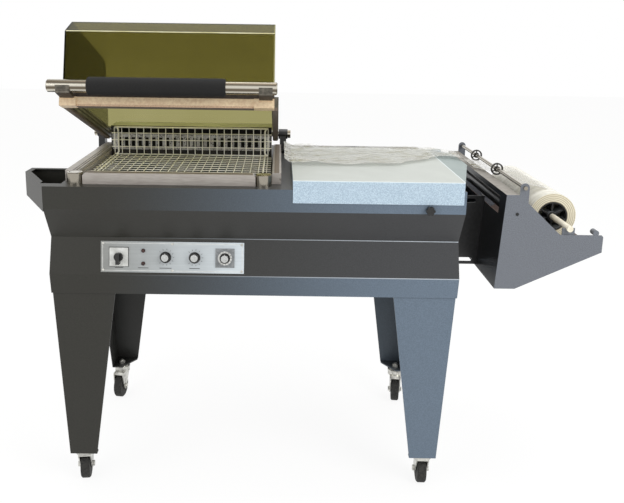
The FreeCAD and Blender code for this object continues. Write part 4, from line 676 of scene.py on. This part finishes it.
# Wound film is milky with streaks round the roll; its end shows the layers as fine rings.
wound = grained("wound_polyolefin_film", "#d6d2c2", "#efece0", 8, 0.25, stretch=(0.3, 1, 0.3))
end_rings, tree, surface = coat("wound_polyolefin_film_end", "#ddd3bb", 0.4)
ring_turns = 1400.0   # radians a metre: a ring every 4.5 mm, coarser than the film, to show
away = shade(tree, "Mapping", {"Vector": shade(tree, "TexCoord").outputs["Object"],
                               "Location": (-hub.x, 0, -hub.z), "Scale": (1, 0, 1)}, vector_type="POINT")
spread = shade(tree, "VectorMath", {0: away.outputs[0]}, operation="LENGTH")
rings = shade(tree, "Math", {0: spread.outputs["Value"], 1: ring_turns}, operation="MULTIPLY")
ripple = shade(tree, "Math", {0: rings.outputs[0]}, operation="SINE")
ring = shade(tree, "MapRange", {"Value": ripple.outputs[0], "From Min": -1.0, "From Max": 1.0})
layers = shade(tree, "Mix", {0: ring.outputs[0], 6: tone("#c7bb9f"), 7: tone("#f4eed6")}, data_type="RGBA")
tree.links.new(layers.outputs[2], surface.inputs["Base Color"])
dress("film_roll", wound, end_rings, choose=lambda at, normal: 1 if abs(normal.y) > 0.9 else 0)

# ---------------------------------------------------------------- film
# Centre-folded clear shrink film, 15 micron, drawn off the roll over the unwinder and the table,
# where it lies crumpled and bunches up beside the hood. It is given 0.2 mm, to be a closed shell.
low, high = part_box("film_web")
path = [(low.x, 0.866), (low.x + 0.012, 0.860), (low.x + 0.03, 0.8562), (wing_start, 0.8562),
        (corner.x + 1.078, 0.8500), (corner.x + 1.108, 0.8262), (corner.x + 1.142, 0.8252), (high.x, low.z)]
stations = 150
lanes = 44
lengths = [0.0]
for (x0, z0), (x1, z1) in zip(path, path[1:]):
    lengths.append(lengths[-1] + math.hypot(x1 - x0, z1 - z0))


def along_path(distance):
    """The point of the film's run at a distance from its free end."""
    for i in range(len(path) - 1):
        if distance <= lengths[i + 1] or i == len(path) - 2:
            part = min(1.0, (distance - lengths[i]) / (lengths[i + 1] - lengths[i]))
            return [path[i][k] + part * (path[i + 1][k] - path[i][k]) for k in (0, 1)]


def front_edge(x):
    """How far the film's front edge lies from its back one, as a share of the full width."""
    along = x - corner.x
    drawn_back = max(0.0, min(1.0, (along - 0.88) / 0.16))
    let_out = max(0.0, min(1.0, (along - 1.10) / 0.10))
    wave = 0.06 * math.sin(along * 17 + 2.2) + 0.015 * math.sin(along * 67 + 1)
    return (1.0 - 0.62 * drawn_back * (1 - let_out)) * (1 + wave * (1 - let_out))


bpy.ops.object.select_all(action="DESELECT")
bpy.ops.mesh.primitive_grid_add(x_subdivisions=stations, y_subdivisions=lanes, size=1)
film = bpy.context.object
full = high.y - low.y
for point in film.data.vertices:
    u, v = point.co.x + 0.5, point.co.y + 0.5
    x, z = along_path(u * lengths[-1])
    y = high.y - (1 - v) * min(full, full * front_edge(x))
    loose = max(0.0, 1 - max(0.0, x - wing_start) / 0.10)
    bunch = max(0.0, 1 - (x - low.x) / 0.10)
    fold = noise.noise(Vector((x * 9, y * 34 + x * 10, 0.3)))
    crease = 1 - abs(noise.noise(Vector((x * 26 + 5, y * 95 + x * 16, 1.7)))) * 2
    lift = (0.003 + 0.004 * fold + 0.002 * crease) * loose + 0.014 * bunch * (0.5 + fold)
    point.co = (x, y, max(z + lift, z if loose < 1 else 0.8545))
skin = film.modifiers.new("skin", "SOLIDIFY")
skin.thickness = 0.0002
skin.offset = 1
only(film)
bpy.ops.object.modifier_apply(modifier="skin")
bpy.ops.object.shade_smooth_by_angle(angle=math.radians(80))
# Clear film: mostly seen through, with a painted highlight on its ridges and a thin brownish painted shade in its
# creases.
clear, tree, surface = coat("clear_shrink_film", "#dfded0", 0.12, 0.0, Alpha=0.30)
here = shade(tree, "TexCoord").outputs["Object"]
drawn = shade(tree, "Mapping", {"Vector": here, "Scale": (14.0, 60.0, 60.0), "Rotation": (0, 0, 0.15)})
wrinkle = shade(tree, "TexNoise", {"Vector": drawn.outputs[0], "Scale": 1.4, "Detail": 5.0, "Roughness": 0.62})
valley = shade(tree, "MapRange", {"Value": wrinkle.outputs["Fac"], "From Min": 0.36, "From Max": 0.5})
# Painted light: wrinkle valleys painted brownish dark, ridges painted pale.
tint_and_crease_light = shade(tree, "Mix", {0: valley.outputs[0], 6: tone("#b5ac88"), 7: tone("#f2f1ea")}, data_type="RGBA")
tree.links.new(tint_and_crease_light.outputs[2], surface.inputs["Base Color"])
relief = shade(tree, "Bump", {"Height": wrinkle.outputs["Fac"], "Distance": 0.012, "Strength": 1.0})
tree.links.new(relief.outputs["Normal"], surface.inputs["Normal"])
finished(film, "crumpled_film", clear, "frame")
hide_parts("film_web")
